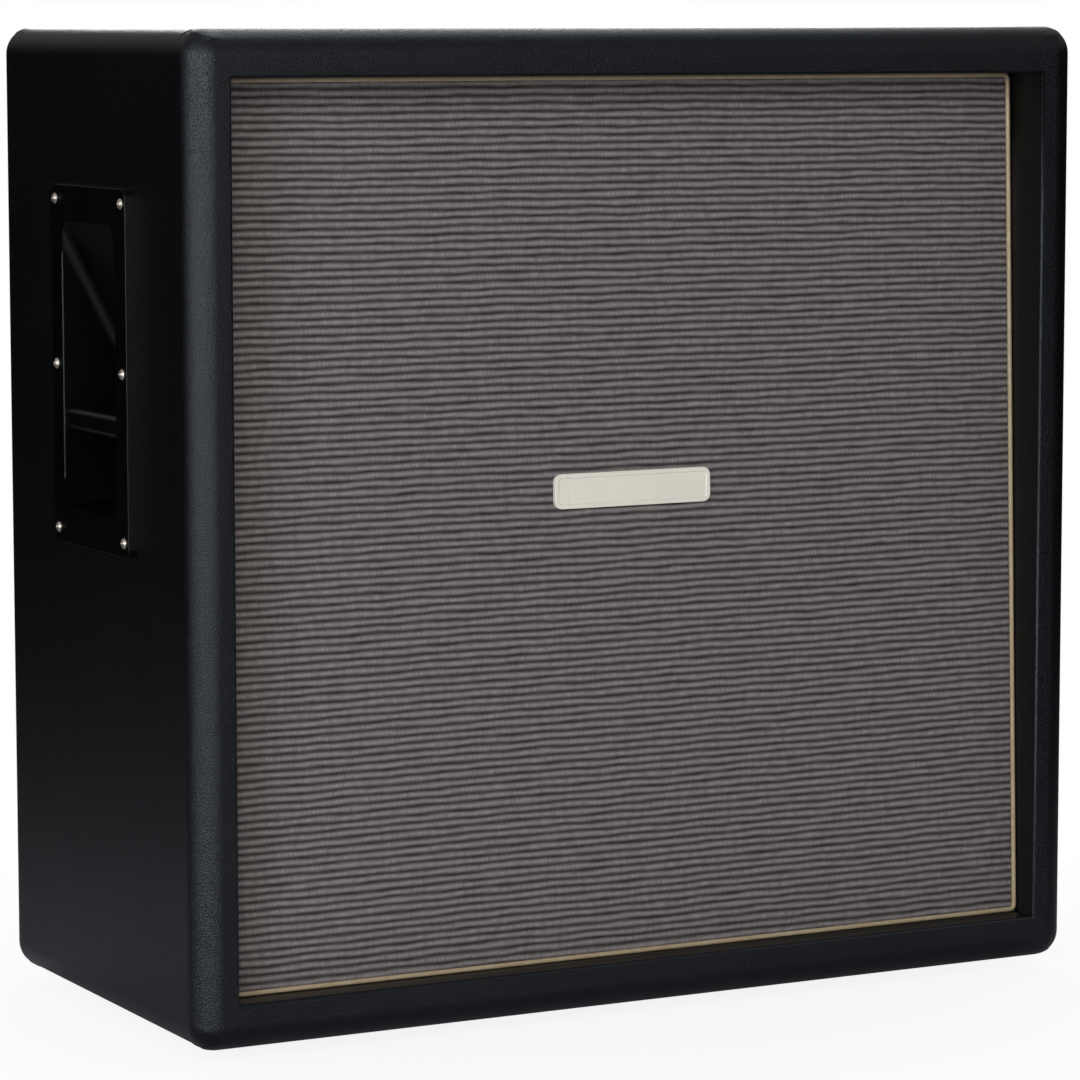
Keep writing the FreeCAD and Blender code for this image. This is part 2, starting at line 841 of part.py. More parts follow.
def surround():
    """Pleated edge of the cone, from the cone's glue flat up to the lip under the gasket."""
    inner = cone_edge_radius - glue_flat
    outer = chassis_radius - surround_lip_step
    pleat = roll_width / roll_count / 2
    flat = surround_front + cone_setback
    front = [(inner, flat), (cone_edge_radius, flat)]
    for number in range(2 * roll_count):
        reach = pleat * (number + 0.5)
        height = roll_height * (-1) ** number
        front.append((cone_edge_radius + reach, flat - cone_setback * reach / roll_width - height))
    front.append((cone_edge_radius + roll_width, surround_front))
    front.append((outer, surround_front))
    back = [(radius, y + surround_thickness) for radius, y in reversed(front)]
    return turned(front + back).cut(bolt_holes())


def cone_outline():
    """Paper cone: glue flat behind the surround, straight wall and a neck on the coil's former."""
    rim = cone_edge_radius - glue_flat
    neck = former_radius + glue_gap
    wall = cone_thickness * math.hypot(cone_depth, rim - neck) / (rim - neck)
    return [
        (rim, cone_front),
        (cone_edge_radius, cone_front),
        (cone_edge_radius, cone_front + cone_thickness),
        (rim, cone_front + wall),
        (neck + cone_thickness, neck_front + wall),
        (neck + cone_thickness, neck_front + cone_neck_length),
        (neck, neck_front + cone_neck_length),
        (neck, neck_front),
    ]


def dust_cap():
    """Domed cap that sits on the front of the cone."""
    outline = cone_outline()
    rim_radius, rim_y = outline[0]
    neck_radius, neck_y = outline[-1]
    slope = (neck_y - rim_y) / (rim_radius - neck_radius)
    foot_y = rim_y + slope * (rim_radius - cap_radius)
    outside = (cap_radius ** 2 + cap_height ** 2) / (2 * cap_height)
    centre = vec(0, foot_y - cap_height + outside, 0)
    shell = Part.makeSphere(outside, centre).cut(Part.makeSphere(outside - cap_thickness, centre))
    shell = shell.common(rod(cap_radius, 2 * cap_height, vec(0, foot_y - 2 * cap_height, 0), vec(0, 1, 0)))
    return shell


def chassis():
    t = chassis_thickness
    rim = chassis_bowl_radius
    wall = [
        (chassis_radius, flange_front),
        (chassis_radius, flange_back),
        (rim, flange_back),
        (rim, chassis_bowl_depth),
        (landing_radius, landing_back),
        (cup_radius, landing_back),
        (cup_radius, plate_front),
        (plate_hole_radius + t, plate_front),
        (plate_hole_radius + t, plate_front - t),
        (cup_radius - t, plate_front - t),
        (cup_radius - t, landing_depth),
        (landing_radius - t, landing_depth),
        (rim - t, chassis_bowl_depth),
        (rim - t, flange_front),
    ]
    shape = turned(wall)
    y0 = chassis_bowl_depth + window_margin
    y1 = landing_depth - window_margin
    window = block(0, chassis_radius, y0, y1, -window_width / 2, window_width / 2)
    for number in range(window_count):
        turn = FreeCAD.Rotation(vec(0, 1, 0), 360 * number / window_count)
        shape = shape.cut(placed(window, FreeCAD.Placement(vec(0, 0, 0), turn)))
    return shape.cut(bolt_holes())


def voice_coil():
    """Former with its winding centred in the magnet's gap."""
    former = ring(coil_radius, former_radius, neck_front, former_end)
    middle = plate_front + plate_thickness / 2
    half = coil_winding_length / 2
    winding = ring(former_radius, winding_radius, middle - half, middle + half)
    return [former, winding]


def spider():
    """Corrugated disc that centres the coil, glued to the former and to the chassis landing."""
    inner = former_radius + glue_gap
    outer = landing_radius - chassis_thickness - spider_glue_margin
    first = inner + glue_flat / 2
    last = cup_radius - chassis_thickness
    step = (last - first) / (2 * spider_wave_count)
    rest = landing_depth - spider_thickness
    flat = rest - spider_rise
    front = [(inner, flat), (first, flat)]
    for number in range(1, 2 * spider_wave_count):
        height = spider_wave_height / 2 * (-1) ** number
        share = number / (2 * spider_wave_count)
        front.append((first + step * number, flat + spider_rise * share + height))
    front += [(last, rest), (outer, rest)]
    back = [(radius, y + spider_thickness) for radius, y in reversed(front)]
    return turned(front + back)


def top_plate():
    return ring(plate_hole_radius, plate_radius, plate_front, magnet_front)


def magnet():
    return ring(magnet_inner_radius, magnet_radius, magnet_front, magnet_back)


def pole_plate():
    """Back plate with the vented pole that fills the coil."""
    return turned([
        (pole_vent_radius, plate_front),
        (pole_radius, plate_front),
        (pole_radius, magnet_back),
        (plate_radius, magnet_back),
        (plate_radius, magnet_back + plate_thickness),
        (pole_vent_radius, magnet_back + plate_thickness),
    ])


def terminal_direction(x, z):
    """From a driver's axis towards the middle of the baffle."""
    return vec(-x, 0, -z).normalize()


def terminal_end():
    return landing_radius + terminal_reach


def terminal(x, z):
    """Tag board on the back of the chassis landing, pointing to the middle of the cabinet."""
    inner = landing_radius - terminal_seat
    board = block(
        inner, terminal_end(), landing_back, landing_back + terminal_thickness,
        -terminal_width / 2, terminal_width / 2,
    )
    turn = FreeCAD.Rotation(vec(1, 0, 0), terminal_direction(x, z))
    return placed(board, FreeCAD.Placement(vec(0, 0, 0), turn))


def driver_bolt_and_nut():
    """One bolt from the back of the chassis, and the tee nut in the front of the baffle."""
    seat = vec(0, flange_back, 0)
    bolt = rod(bolt_radius, bolt_length, seat, vec(0, -1, 0))
    bolt = bolt.fuse(rod(bolt_head_radius, bolt_head_height, seat, vec(0, 1, 0)))
    front = -baffle_thickness
    thread = bolt_radius + screw_clearance
    nut = turned([
        (thread, front),
        (tee_nut_flange_radius, front),
        (tee_nut_flange_radius, front + tee_nut_flange_thickness),
        (tee_nut_barrel_radius, front + tee_nut_flange_thickness),
        (tee_nut_barrel_radius, front + tee_nut_barrel_length),
        (thread, front + tee_nut_barrel_length),
    ])
    return bolt, nut


# Wiring

def junction_centre():
    depth = baffle_back + landing_back + terminal_thickness / 2
    on_plane = baffle_frame.multVec(vec(0, depth, post_size / 2 + junction_height / 2))
    return vec(0, on_plane.y, middle_z + post_size / 2 + junction_height / 2)


def junction_block():
    return centred_block(junction_centre(), junction_width, junction_length, junction_height)


def lead_route(x, z):
    """From the side of the junction block to the tag board of one driver."""
    side = 1 if x > 0 else -1
    centre = junction_centre()
    upper = z > 0
    start = centre + vec(side * junction_width / 2, lead_pitch / 2 if upper else -lead_pitch / 2, 0)
    inward = terminal_direction(x, z)
    board = vec(x, baffle_back + landing_back + terminal_thickness / 2, z)
    end = baffle_frame.multVec(board + inward * (terminal_end() + lead_end_gap))
    rise = start.z - middle_z
    slope = abs(z / x)
    if upper:
        corner = vec(side * rise / slope, start.y, start.z)
        return [start, corner, end]
    elbow = vec(side * lower_lead_offset, start.y, start.z)
    turn = vec(side * lower_lead_offset, (start.y + end.y) / 2, middle_z - lower_lead_offset * slope)
    return [start, elbow, turn, end]


def jack_cable():
    """From the foot of the jack's body, down the back and along the top of the post."""
    y0, y1 = jack_body_y()
    start = jack_centre((y0 + y1) / 2) - vec(0, 0, jack_body_height / 2)
    centre = junction_centre()
    corner = vec(0, start.y, centre.z)
    end = centre + vec(0, junction_length / 2, 0)
    return tube_along(rounded_path([start, corner, end]), cable_diameter)


def cable_clips():
    """Saddles on top of the post that hold the jack cable."""
    centre = junction_centre()
    y0 = centre.y + junction_length / 2
    bend = panel_front_y - (panel_front_y - y0) / 2
    clips = []
    width = cable_diameter + 2 * clip_wall
    height = junction_height / 2 + cable_diameter / 2 + clip_wall
    base = middle_z + post_size / 2
    for y in spread(clip_count, y0, bend):
        saddle = centred_block(vec(0, y, base + height / 2), width, clip_length, height)
        hole = rod(cable_diameter / 2 + clip_clearance, far, vec(0, y - far / 2, centre.z), vec(0, 1, 0))
        clips.append(saddle.cut(hole))
    return clips


# Assembly

def shell_nodes():
    box = carcass()
    levels, uprights = rear_cleats()
    nodes = {
        "shell_covering": covering(),
        "top_panel": top_panel(box),
        "bottom_panel": bottom_panel(box),
        "left_side_panel": side_panel(-1, box),
        "right_side_panel": side_panel(1, box),
        "rear_cleats_level": group(levels),
        "rear_cleats_upright": group(uprights),
    }
    nodes.update(front_lips())
    return nodes


def front_nodes():
    return {
        "baffle_board": baffle_board(),
        "grille_cloth": grille_cloth(),
        "gold_piping": piping(),
        "blank_badge": badge(),
        "baffle_screws": screws(screw_radius, baffle_screw_length, baffle_screw_places()),
    }


def back_nodes():
    seat = panel_back_y
    return {
        "back_panel": back_panel_sheet(panel_front_y, seat),
        "back_panel_covering": back_panel_sheet(seat, seat + covering_thickness),
        "back_panel_screws": screws(
            screw_radius, panel_screw_length, panel_screw_places() + post_screw_places()
        ),
        "centre_post": centre_post(),
        "jack_dish": jack_dish(),
        "jack_socket": jack_socket(),
        "jack_nut": jack_nut(),
        "jack_dish_screws": screws(dish_screw_radius, dish_screw_length, dish_screw_places()),
    }


def outside_nodes():
    return {
        "left_handle": handle(-1),
        "right_handle": handle(1),
        "handle_screws": screws(
            screw_radius, handle_screw_length, handle_screw_places(-1) + handle_screw_places(1)
        ),
        "rubber_feet": group(rubber_foot(centre) for centre in foot_centres()),
        "foot_screws": screws(screw_radius, foot_screw_length, foot_screw_places()),
    }


def driver_nodes():
    nodes = {}
    shared = {
        "driver_gaskets": [gasket()],
        "driver_top_plates": [top_plate()],
        "driver_magnets": [magnet()],
        "driver_pole_plates": [pole_plate()],
    }
    single = {
        "driver_chassis": [chassis()],
        "driver_surround": [surround()],
        "driver_cone": [turned(cone_outline()), dust_cap()],
        "driver_voice_coil": voice_coil(),
        "driver_spider": [spider()],
    }
    bolt, nut = driver_bolt_and_nut()
    bolts = []
    nuts = []
    terminals = []
    groups = {name: [] for name in shared}
    for number, (x, z) in enumerate(driver_places(), start=1):
        frame = driver_frame(x, z)
        for name, shapes in shared.items():
            groups[name] += [placed(shape, frame) for shape in shapes]
        for name, shapes in single.items():
            nodes[f"{name}_{number}"] = group(placed(shape, frame) for shape in shapes)
        terminals.append(placed(terminal(x, z), frame))
        for bolt_x, bolt_z in bolt_places(x, z):
            spot = driver_frame(bolt_x, bolt_z)
            bolts.append(placed(bolt, spot))
            nuts.append(placed(nut, spot))
    nodes.update({name: group(shapes) for name, shapes in groups.items()})
    nodes["driver_terminals"] = group(terminals)
    nodes["driver_bolts"] = group(bolts)
    nodes["tee_nuts"] = group(nuts)
    return nodes


def wiring_nodes():
    leads = [tube_along(rounded_path(lead_route(x, z)), lead_diameter) for x, z in driver_places()]
    return {
        "speaker_leads": group(leads),
        "jack_cable": jack_cable(),
        "junction_block": junction_block(),
        "cable_clips": group(cable_clips()),
    }


def main():
    os.makedirs("parts", exist_ok=True)
    nodes = {}
    for make in (shell_nodes, front_nodes, back_nodes, outside_nodes, driver_nodes, wiring_nodes):
        nodes.update(make())
    for name, shape in nodes.items():
        shape.exportStep(f"parts/{name}.step")
    print(len(nodes), "nodes,", sum(len(shape.Solids) for shape in nodes.values()), "solids")


if __name__ == "__main__":
    main()
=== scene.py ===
import json
import math

import bmesh
import bpy
from mathutils import Matrix, Vector, noise


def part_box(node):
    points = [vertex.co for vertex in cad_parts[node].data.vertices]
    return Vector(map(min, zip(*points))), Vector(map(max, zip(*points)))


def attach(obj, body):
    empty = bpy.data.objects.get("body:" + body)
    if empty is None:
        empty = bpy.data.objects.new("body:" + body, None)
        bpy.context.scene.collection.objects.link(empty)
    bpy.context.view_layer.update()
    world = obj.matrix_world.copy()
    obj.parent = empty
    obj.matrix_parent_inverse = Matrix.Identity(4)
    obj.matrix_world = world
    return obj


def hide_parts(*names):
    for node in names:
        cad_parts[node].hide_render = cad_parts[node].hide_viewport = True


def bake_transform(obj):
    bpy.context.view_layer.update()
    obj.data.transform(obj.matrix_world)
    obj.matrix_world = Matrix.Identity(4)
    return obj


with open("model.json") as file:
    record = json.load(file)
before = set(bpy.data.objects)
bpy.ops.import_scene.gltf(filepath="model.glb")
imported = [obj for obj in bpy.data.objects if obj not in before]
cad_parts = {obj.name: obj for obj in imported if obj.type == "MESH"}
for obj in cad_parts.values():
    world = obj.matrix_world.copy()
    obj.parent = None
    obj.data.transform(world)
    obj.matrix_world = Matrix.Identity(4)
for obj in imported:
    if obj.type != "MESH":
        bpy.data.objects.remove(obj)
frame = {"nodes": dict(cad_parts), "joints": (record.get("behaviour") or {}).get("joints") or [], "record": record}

scene = bpy.context.scene
scene.view_settings.view_transform = "Standard"
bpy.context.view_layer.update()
slotOf = {row["node"]: row["material_slot"] for row in frame["record"]["subparts"]}
tight = 1e-6  # metres within which two places are the same
flatCosine = 0.999  # two directions at least this much alike are the same
print("frame loaded:", len(frame["nodes"]), "nodes")

# Places read from the frame
shellLow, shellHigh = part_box("shell_covering")
shellMid = (shellLow + shellHigh) / 2
shellHalf = (shellHigh - shellLow) / 2
outAxis = Vector(frame["joints"][0]["axis"])  # square to the baffle, towards the front
lean = math.atan2(outAxis.z, -outAxis.y)
clothLow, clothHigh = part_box("grille_cloth")
clothMidZ = (clothLow.z + clothHigh.z) / 2
clothMidY = clothLow.y + (clothMidZ - clothLow.z) * math.tan(lean)
baffleFrame = Matrix.Translation((0, clothMidY, clothMidZ)) @ Matrix.Rotation(-lean, 4, "X")


def leaningBox(node):
    # a node's box in the baffle's own frame: y 0 is the front of the cloth, +y goes inside
    back = baffleFrame.inverted()
    places = [back @ vert.co for vert in frame["nodes"][node].data.vertices]
    low = Vector(min(place[axis] for place in places) for axis in range(3))
    high = Vector(max(place[axis] for place in places) for axis in range(3))
    return low, high


def islandMiddles(node):
    # the middle of each loose solid in a node
    bm = bmesh.new()
    bm.from_mesh(frame["nodes"][node].data)
    bmesh.ops.remove_doubles(bm, verts=bm.verts, dist=tight)
    left = set(bm.verts)
    middles = []
    while left:
        island = set()
        front = [left.pop()]
        while front:
            vert = front.pop()
            island.add(vert)
            for edge in vert.link_edges:
                other = edge.other_vert(vert)
                if other in left:
                    left.remove(other)
                    front.append(other)
        low = Vector(min(vert.co[axis] for vert in island) for axis in range(3))
        high = Vector(max(vert.co[axis] for vert in island) for axis in range(3))
        middles.append((low + high) / 2)
    bm.free()
    return sorted(middles, key=tuple)


# Shader helpers

def addNode(tree, kind, sockets=None, **settings):
    made = tree.nodes.new("ShaderNode" + kind)
    for key, value in settings.items():
        setattr(made, key, value)
    for key, value in (sockets or {}).items():
        if isinstance(value, bpy.types.NodeSocket):
            tree.links.new(value, made.inputs[key])
        else:
            made.inputs[key].default_value = value
    return made


def addMath(tree, operation, first, second=None):
    sockets = {0: first} if second is None else {0: first, 1: second}
    return addNode(tree, "Math", sockets, operation=operation).outputs[0]


def addRange(tree, value, low, high, newLow, newHigh, smooth=False):
    kind = "SMOOTHSTEP" if smooth else "LINEAR"
    names = ("Value", "From Min", "From Max", "To Min", "To Max")
    sockets = dict(zip(names, (value, low, high, newLow, newHigh)))
    return addNode(tree, "MapRange", sockets, interpolation_type=kind, clamp=True).outputs[0]


def mixColour(tree, factor, first, second):
    made = addNode(tree, "Mix", {0: factor, 6: first, 7: second}, data_type="RGBA")
    return made.outputs[2]


def rgba(colour):
    return (*colour, 1.0)


def startGroup(name, inputs, outputs):
    kinds = {"value": "NodeSocketFloat", "vector": "NodeSocketVector", "colour": "NodeSocketColor"}
    group = bpy.data.node_groups.new(name, "ShaderNodeTree")
    for label, kind in inputs.items():
        group.interface.new_socket(label, in_out="INPUT", socket_type=kinds[kind])
    for label, kind in outputs.items():
        group.interface.new_socket(label, in_out="OUTPUT", socket_type=kinds[kind])
    given = group.nodes.new("NodeGroupInput").outputs
    result = group.nodes.new("NodeGroupOutput").inputs
    return group, given, result


def addGroup(tree, group, sockets):
    return addNode(tree, "Group", sockets, node_tree=group).outputs


def startLook(name, plain):
    look = bpy.data.materials.new(name)
    look.use_nodes = True
    tree = look.node_tree
    shader = tree.nodes["Principled BSDF"]
    for key, value in plain.items():
        shader.inputs[key].default_value = value
    place = addNode(tree, "TexCoord").outputs["Object"]
    return look, tree, shader, place


def addBump(tree, shader, height, strength, distance):
    bump = addNode(tree, "Bump", {"Height": height, "Strength": strength, "Distance": distance})
    tree.links.new(bump.outputs["Normal"], shader.inputs["Normal"])


# Shared effects
grainSet = {
    "warpShare": 0.4, "warpReach": 0.9, "warpDetail": 2.0, "fineShare": 2.6, "fineDetail": 3.0,
    "fineHeight": 0.35, "dome": (0.05, 0.62), "creaseShade": (0.4, 0.7),
}


def buildPebbleGrain():
    # round grains with fine creases between them
    group, given, result = startGroup(
        "pebbleGrain", {"Vector": "vector", "Scale": "value"}, {"Height": "value", "Crease": "value"}
    )
    warpScale = addMath(group, "MULTIPLY", given["Scale"], grainSet["warpShare"])
    warp = addNode(group, "TexNoise", {
        "Vector": given["Vector"], "Scale": warpScale, "Detail": grainSet["warpDetail"],
    })
    reach = addMath(group, "DIVIDE", grainSet["warpReach"], given["Scale"])
    shift = addNode(group, "VectorMath", {0: warp.outputs["Color"], "Scale": reach}, operation="SCALE")
    moved = addNode(group, "VectorMath", {0: given["Vector"], 1: shift.outputs[0]}, operation="ADD")
    cells = addNode(
        group, "TexVoronoi", {"Vector": moved.outputs[0], "Scale": given["Scale"]}, feature="F1"
    )
    apart = cells.outputs["Distance"]
    fineScale = addMath(group, "MULTIPLY", given["Scale"], grainSet["fineShare"])
    fine = addNode(group, "TexNoise", {
        "Vector": given["Vector"], "Scale": fineScale, "Detail": grainSet["fineDetail"],
    })
    dome = addRange(group, apart, *grainSet["dome"], 1.0, 0.0, smooth=True)
    rough = addMath(group, "MULTIPLY", fine.outputs[0], grainSet["fineHeight"])
    group.links.new(addMath(group, "ADD", dome, rough), result["Height"])
    group.links.new(addRange(group, apart, *grainSet["creaseShade"], 0.0, 1.0), result["Crease"])
    return group


patchSet = {"detail": 4.0, "roughness": 0.55, "band": (0.32, 0.68)}


def buildSoftPatches():
    # slow cloudy change between two values
    group, given, result = startGroup(
        "softPatches",
        {"Vector": "vector", "Scale": "value", "Low": "value", "High": "value"},
        {"Value": "value"},
    )
    cloud = addNode(group, "TexNoise", {
        "Vector": given["Vector"], "Scale": given["Scale"],
        "Detail": patchSet["detail"], "Roughness": patchSet["roughness"],
    })
    value = addRange(group, cloud.outputs[0], *patchSet["band"], given["Low"], given["High"])
    group.links.new(value, result["Value"])
    return group


wearSet = {"detail": 5.0, "broken": (0.5, 0.72)}


def buildEdgeWear():
    # broken marks where two faces of a box of this half size meet
    group, given, result = startGroup(
        "edgeWear",
        {"Vector": "vector", "Middle": "vector", "Half": "vector", "Width": "value", "Scale": "value"},
        {"Mask": "value"},
    )
    local = addNode(group, "VectorMath", {0: given["Vector"], 1: given["Middle"]}, operation="SUBTRACT")
    size = addNode(group, "VectorMath", {0: local.outputs[0]}, operation="ABSOLUTE")
    gap = addNode(group, "VectorMath", {0: given["Half"], 1: size.outputs[0]}, operation="SUBTRACT")
    parts = addNode(group, "SeparateXYZ", {0: gap.outputs[0]})
    near = [addRange(group, parts.outputs[axis], 0.0, given["Width"], 1.0, 0.0) for axis in range(3)]
    pairs = [addMath(group, "MULTIPLY", near[axis], near[axis - 1]) for axis in range(3)]
    edge = addMath(group, "MAXIMUM", addMath(group, "MAXIMUM", pairs[0], pairs[1]), pairs[2])
    cloud = addNode(group, "TexNoise", {
        "Vector": given["Vector"], "Scale": given["Scale"], "Detail": wearSet["detail"],
    })
    broken = addRange(group, cloud.outputs[0], *wearSet["broken"], 0.0, 1.0)
    group.links.new(addMath(group, "MULTIPLY", edge, broken), result["Mask"])
    return group


def buildYarnWeave():
    # rounded ribs across, crossed by finer threads that go over and under them
    group, given, result = startGroup(
        "yarnWeave",
        {"Vector": "vector", "Ribs": "value", "Threads": "value"},
        {"Rib": "value", "Thread": "value", "Height": "value"},
    )
    parts = addNode(group, "SeparateXYZ", {0: given["Vector"]})
    across = addMath(group, "MULTIPLY", parts.outputs[1], given["Ribs"])
    along = addMath(group, "MULTIPLY", parts.outputs[0], given["Threads"])
    rib = addMath(group, "ABSOLUTE", addMath(group, "SINE", addMath(group, "MULTIPLY", across, math.pi)))
    parity = addMath(group, "MULTIPLY", addMath(group, "FLOOR", across), math.pi)
    turn = addMath(group, "ADD", addMath(group, "MULTIPLY", along, 2 * math.pi), parity)
    thread = addRange(group, addMath(group, "SINE", turn), -1.0, 1.0, 0.0, 1.0)
    group.links.new(rib, result["Rib"])
    group.links.new(thread, result["Thread"])
    group.links.new(addMath(group, "MULTIPLY", rib, thread), result["Height"])
    return group


figureSet = {
    "stretch": (0.08, 1.0, 1.0), "detail": 5.0, "distortion": 0.6, "band": (0.3, 0.7),
    "fibreShare": 9.0, "fibreDetail": 2.0,
}


def buildWoodFigure():
    # long fibres along one axis
    group, given, result = startGroup(
        "woodFigure", {"Vector": "vector", "Scale": "value"}, {"Figure": "value", "Fibre": "value"}
    )
    stretched = addNode(group, "Mapping", {"Vector": given["Vector"], "Scale": figureSet["stretch"]})
    figure = addNode(group, "TexNoise", {
        "Vector": stretched.outputs[0], "Scale": given["Scale"],
        "Detail": figureSet["detail"], "Distortion": figureSet["distortion"],
    })
    fibreScale = addMath(group, "MULTIPLY", given["Scale"], figureSet["fibreShare"])
    fibre = addNode(group, "TexNoise", {
        "Vector": stretched.outputs[0], "Scale": fibreScale, "Detail": figureSet["fibreDetail"],
    })
    group.links.new(addRange(group, figure.outputs[0], *figureSet["band"], 0.0, 1.0), result["Figure"])
    group.links.new(fibre.outputs[0], result["Fibre"])
    return group


pebbleGrain = buildPebbleGrain()
softPatches = buildSoftPatches()
edgeWear = buildEdgeWear()
yarnWeave = buildYarnWeave()
woodFigure = buildWoodFigure()
print("shared effects built")


# Covering, cloth and wood looks

vinylSet = {
    "base": (0.0020, 0.0021, 0.0024), "creaseShade": (0.0012, 0.0013, 0.0015),
    "worn": (0.016, 0.017, 0.019), "wornShare": 0.25, "wearWidth": 0.024, "wearScale": 70.0,
    "grainScale": 850.0, "grainDepth": 0.00030, "grainStrength": 0.45,
    "waveScale": 55.0, "waveDetail": 1.0, "waveShare": 0.8,
    "roughLow": 0.32, "roughHigh": 0.36, "roughScale": 9.0,
    "gloss": 0.42, "glossTint": (0.80, 0.88, 1.0),
}


def vinylLook():
    look, tree, shader, place = startLook("fineGrainVinyl", {
        "Specular IOR Level": vinylSet["gloss"], "Specular Tint": rgba(vinylSet["glossTint"]),
    })
    grain = addGroup(tree, pebbleGrain, {"Vector": place, "Scale": vinylSet["grainScale"]})
    wear = addGroup(tree, edgeWear, {
        "Vector": place, "Middle": shellMid, "Half": shellHalf,
        "Width": vinylSet["wearWidth"], "Scale": vinylSet["wearScale"],
    })
    patches = addGroup(tree, softPatches, {
        "Vector": place, "Scale": vinylSet["roughScale"],
        "Low": vinylSet["roughLow"], "High": vinylSet["roughHigh"],
    })
    # painted shade: the creases between the grains are coloured darker than the grain tops
    colour = mixColour(tree, grain["Crease"], rgba(vinylSet["base"]), rgba(vinylSet["creaseShade"]))
    worn = addMath(tree, "MULTIPLY", wear["Mask"], vinylSet["wornShare"])
    colour = mixColour(tree, worn, colour, rgba(vinylSet["worn"]))
    tree.links.new(colour, shader.inputs["Base Color"])
    tree.links.new(patches["Value"], shader.inputs["Roughness"])
    wave = addNode(tree, "TexNoise", {
        "Vector": place, "Scale": vinylSet["waveScale"], "Detail": vinylSet["waveDetail"],
    })
    wave = addMath(tree, "MULTIPLY", wave.outputs[0], vinylSet["waveShare"])
    height = addMath(tree, "ADD", grain["Height"], wave)
    addBump(tree, shader, height, vinylSet["grainStrength"], vinylSet["grainDepth"])
    return look


clothSet = {
    "ribPitch": 0.00585, "ribHeight": 0.0005, "ribRound": 0.8, "stepsPerRib": 6, "columns": 60,
    "sheet": 0.0003, "wander": 0.0006, "wanderScale": (9.0, 4.0), "wanderLayer": 0.3, "sharp": 120.0,
    "threadPitch": 0.0034, "threadShare": 0.22, "slubLength": 0.022, "slubRows": 0.9,
    "slubHeight": 0.014, "warpShare": 0.7, "warpMost": 0.75,
    "sway": 0.45, "swayLength": 1.5, "swayRows": 0.55,
    "fleckLength": 0.0019, "fleckRows": 2.2, "lightFlecks": 0.50, "darkFlecks": 0.06,
    "light": (0.245, 0.216, 0.209), "grey": (0.130, 0.115, 0.112),
    "dark": (0.046, 0.041, 0.041), "black": (0.014, 0.012, 0.012),
    "gloss": 0.2, "rough": 0.85, "bump": 0.6, "bumpDepth": 0.0003,
}
clothSize = (clothHigh.x - clothLow.x, (clothHigh.z - clothLow.z) / math.cos(lean))
ribCount = round(clothSize[1] / clothSet["ribPitch"])


def grilleLook():
    width, height = clothSize
    look, tree, shader = startLook("stripedGrilleCloth", {
        "Specular IOR Level": clothSet["gloss"], "Roughness": clothSet["rough"],
    })[:3]
    weaveMap = addNode(tree, "UVMap", uv_map="UVMap").outputs[0]

    def stretched(across, rows):
        return addNode(tree, "Mapping", {"Vector": weaveMap, "Scale": (across, rows, 1.0)}).outputs[0]

    def patches(across, rows, most=1.0):
        sockets = {"Vector": stretched(across, rows), "Scale": 1.0, "Low": 0.0, "High": most}
        return addGroup(tree, softPatches, sockets)["Value"]

    swayMap = stretched(
        width / (clothSet["swayLength"] * clothSet["slubLength"]), ribCount * clothSet["swayRows"]
    )
    sway = addNode(tree, "TexNoise", {"Vector": swayMap, "Scale": 1.0, "Detail": 1.0}).outputs[0]
    sway = addMath(tree, "MULTIPLY", addMath(tree, "SUBTRACT", sway, 0.5), clothSet["sway"] / ribCount)
    swayed = addNode(tree, "VectorMath", {
        0: weaveMap, 1: addNode(tree, "CombineXYZ", {"Y": sway}).outputs[0],
    }, operation="ADD")
    threadCount = width / clothSet["threadPitch"]
    weave = addGroup(tree, yarnWeave, {
        "Vector": swayed.outputs[0], "Ribs": float(ribCount), "Threads": threadCount,
    })
    slubs = patches(width / clothSet["slubLength"], ribCount * clothSet["slubRows"])
    warps = patches(
        clothSet["warpShare"] * threadCount, height / clothSet["slubHeight"], clothSet["warpMost"]
    )
    flecks = patches(width / clothSet["fleckLength"], ribCount * clothSet["fleckRows"])
    black, dark, grey, light = (rgba(clothSet[name]) for name in ("black", "dark", "grey", "light"))
    threads = addMath(tree, "MULTIPLY", weave["Thread"], clothSet["threadShare"])
    lightYarn = mixColour(tree, warps, light, grey)
    lightYarn = mixColour(tree, threads, lightYarn, grey)
    paleFlecks = addMath(tree, "MULTIPLY", flecks, clothSet["lightFlecks"])
    lightYarn = mixColour(tree, paleFlecks, lightYarn, grey)
    darkYarn = mixColour(tree, slubs, dark, black)
    deepFlecks = addMath(tree, "MULTIPLY", flecks, clothSet["darkFlecks"])
    darkYarn = mixColour(tree, deepFlecks, darkYarn, grey)
    stripe = addMath(tree, "MULTIPLY", weave["Rib"], weave["Rib"])
    tree.links.new(mixColour(tree, stripe, darkYarn, lightYarn), shader.inputs["Base Color"])
    addBump(tree, shader, weave["Height"], clothSet["bump"], clothSet["bumpDepth"])
    return look


woodSets = {
    "plywood": {"light": (0.55, 0.38, 0.22), "dark": (0.36, 0.22, 0.11), "rough": 0.62},
    "baffle_wood": {"light": (0.022, 0.021, 0.021), "dark": (0.010, 0.010, 0.010), "rough": 0.7},
}
woodShared = {"scale": 38.0, "bump": 0.25, "depth": 0.0003}


def woodLook(slot):
    settings = woodSets[slot]
    look, tree, shader, place = startLook(slot + "Look", {"Roughness": settings["rough"]})
    wood = addGroup(tree, woodFigure, {"Vector": place, "Scale": woodShared["scale"]})
    colour = mixColour(tree, wood["Figure"], rgba(settings["light"]), rgba(settings["dark"]))
    tree.links.new(colour, shader.inputs["Base Color"])
    addBump(tree, shader, wood["Fibre"], woodShared["bump"], woodShared["depth"])
    return look


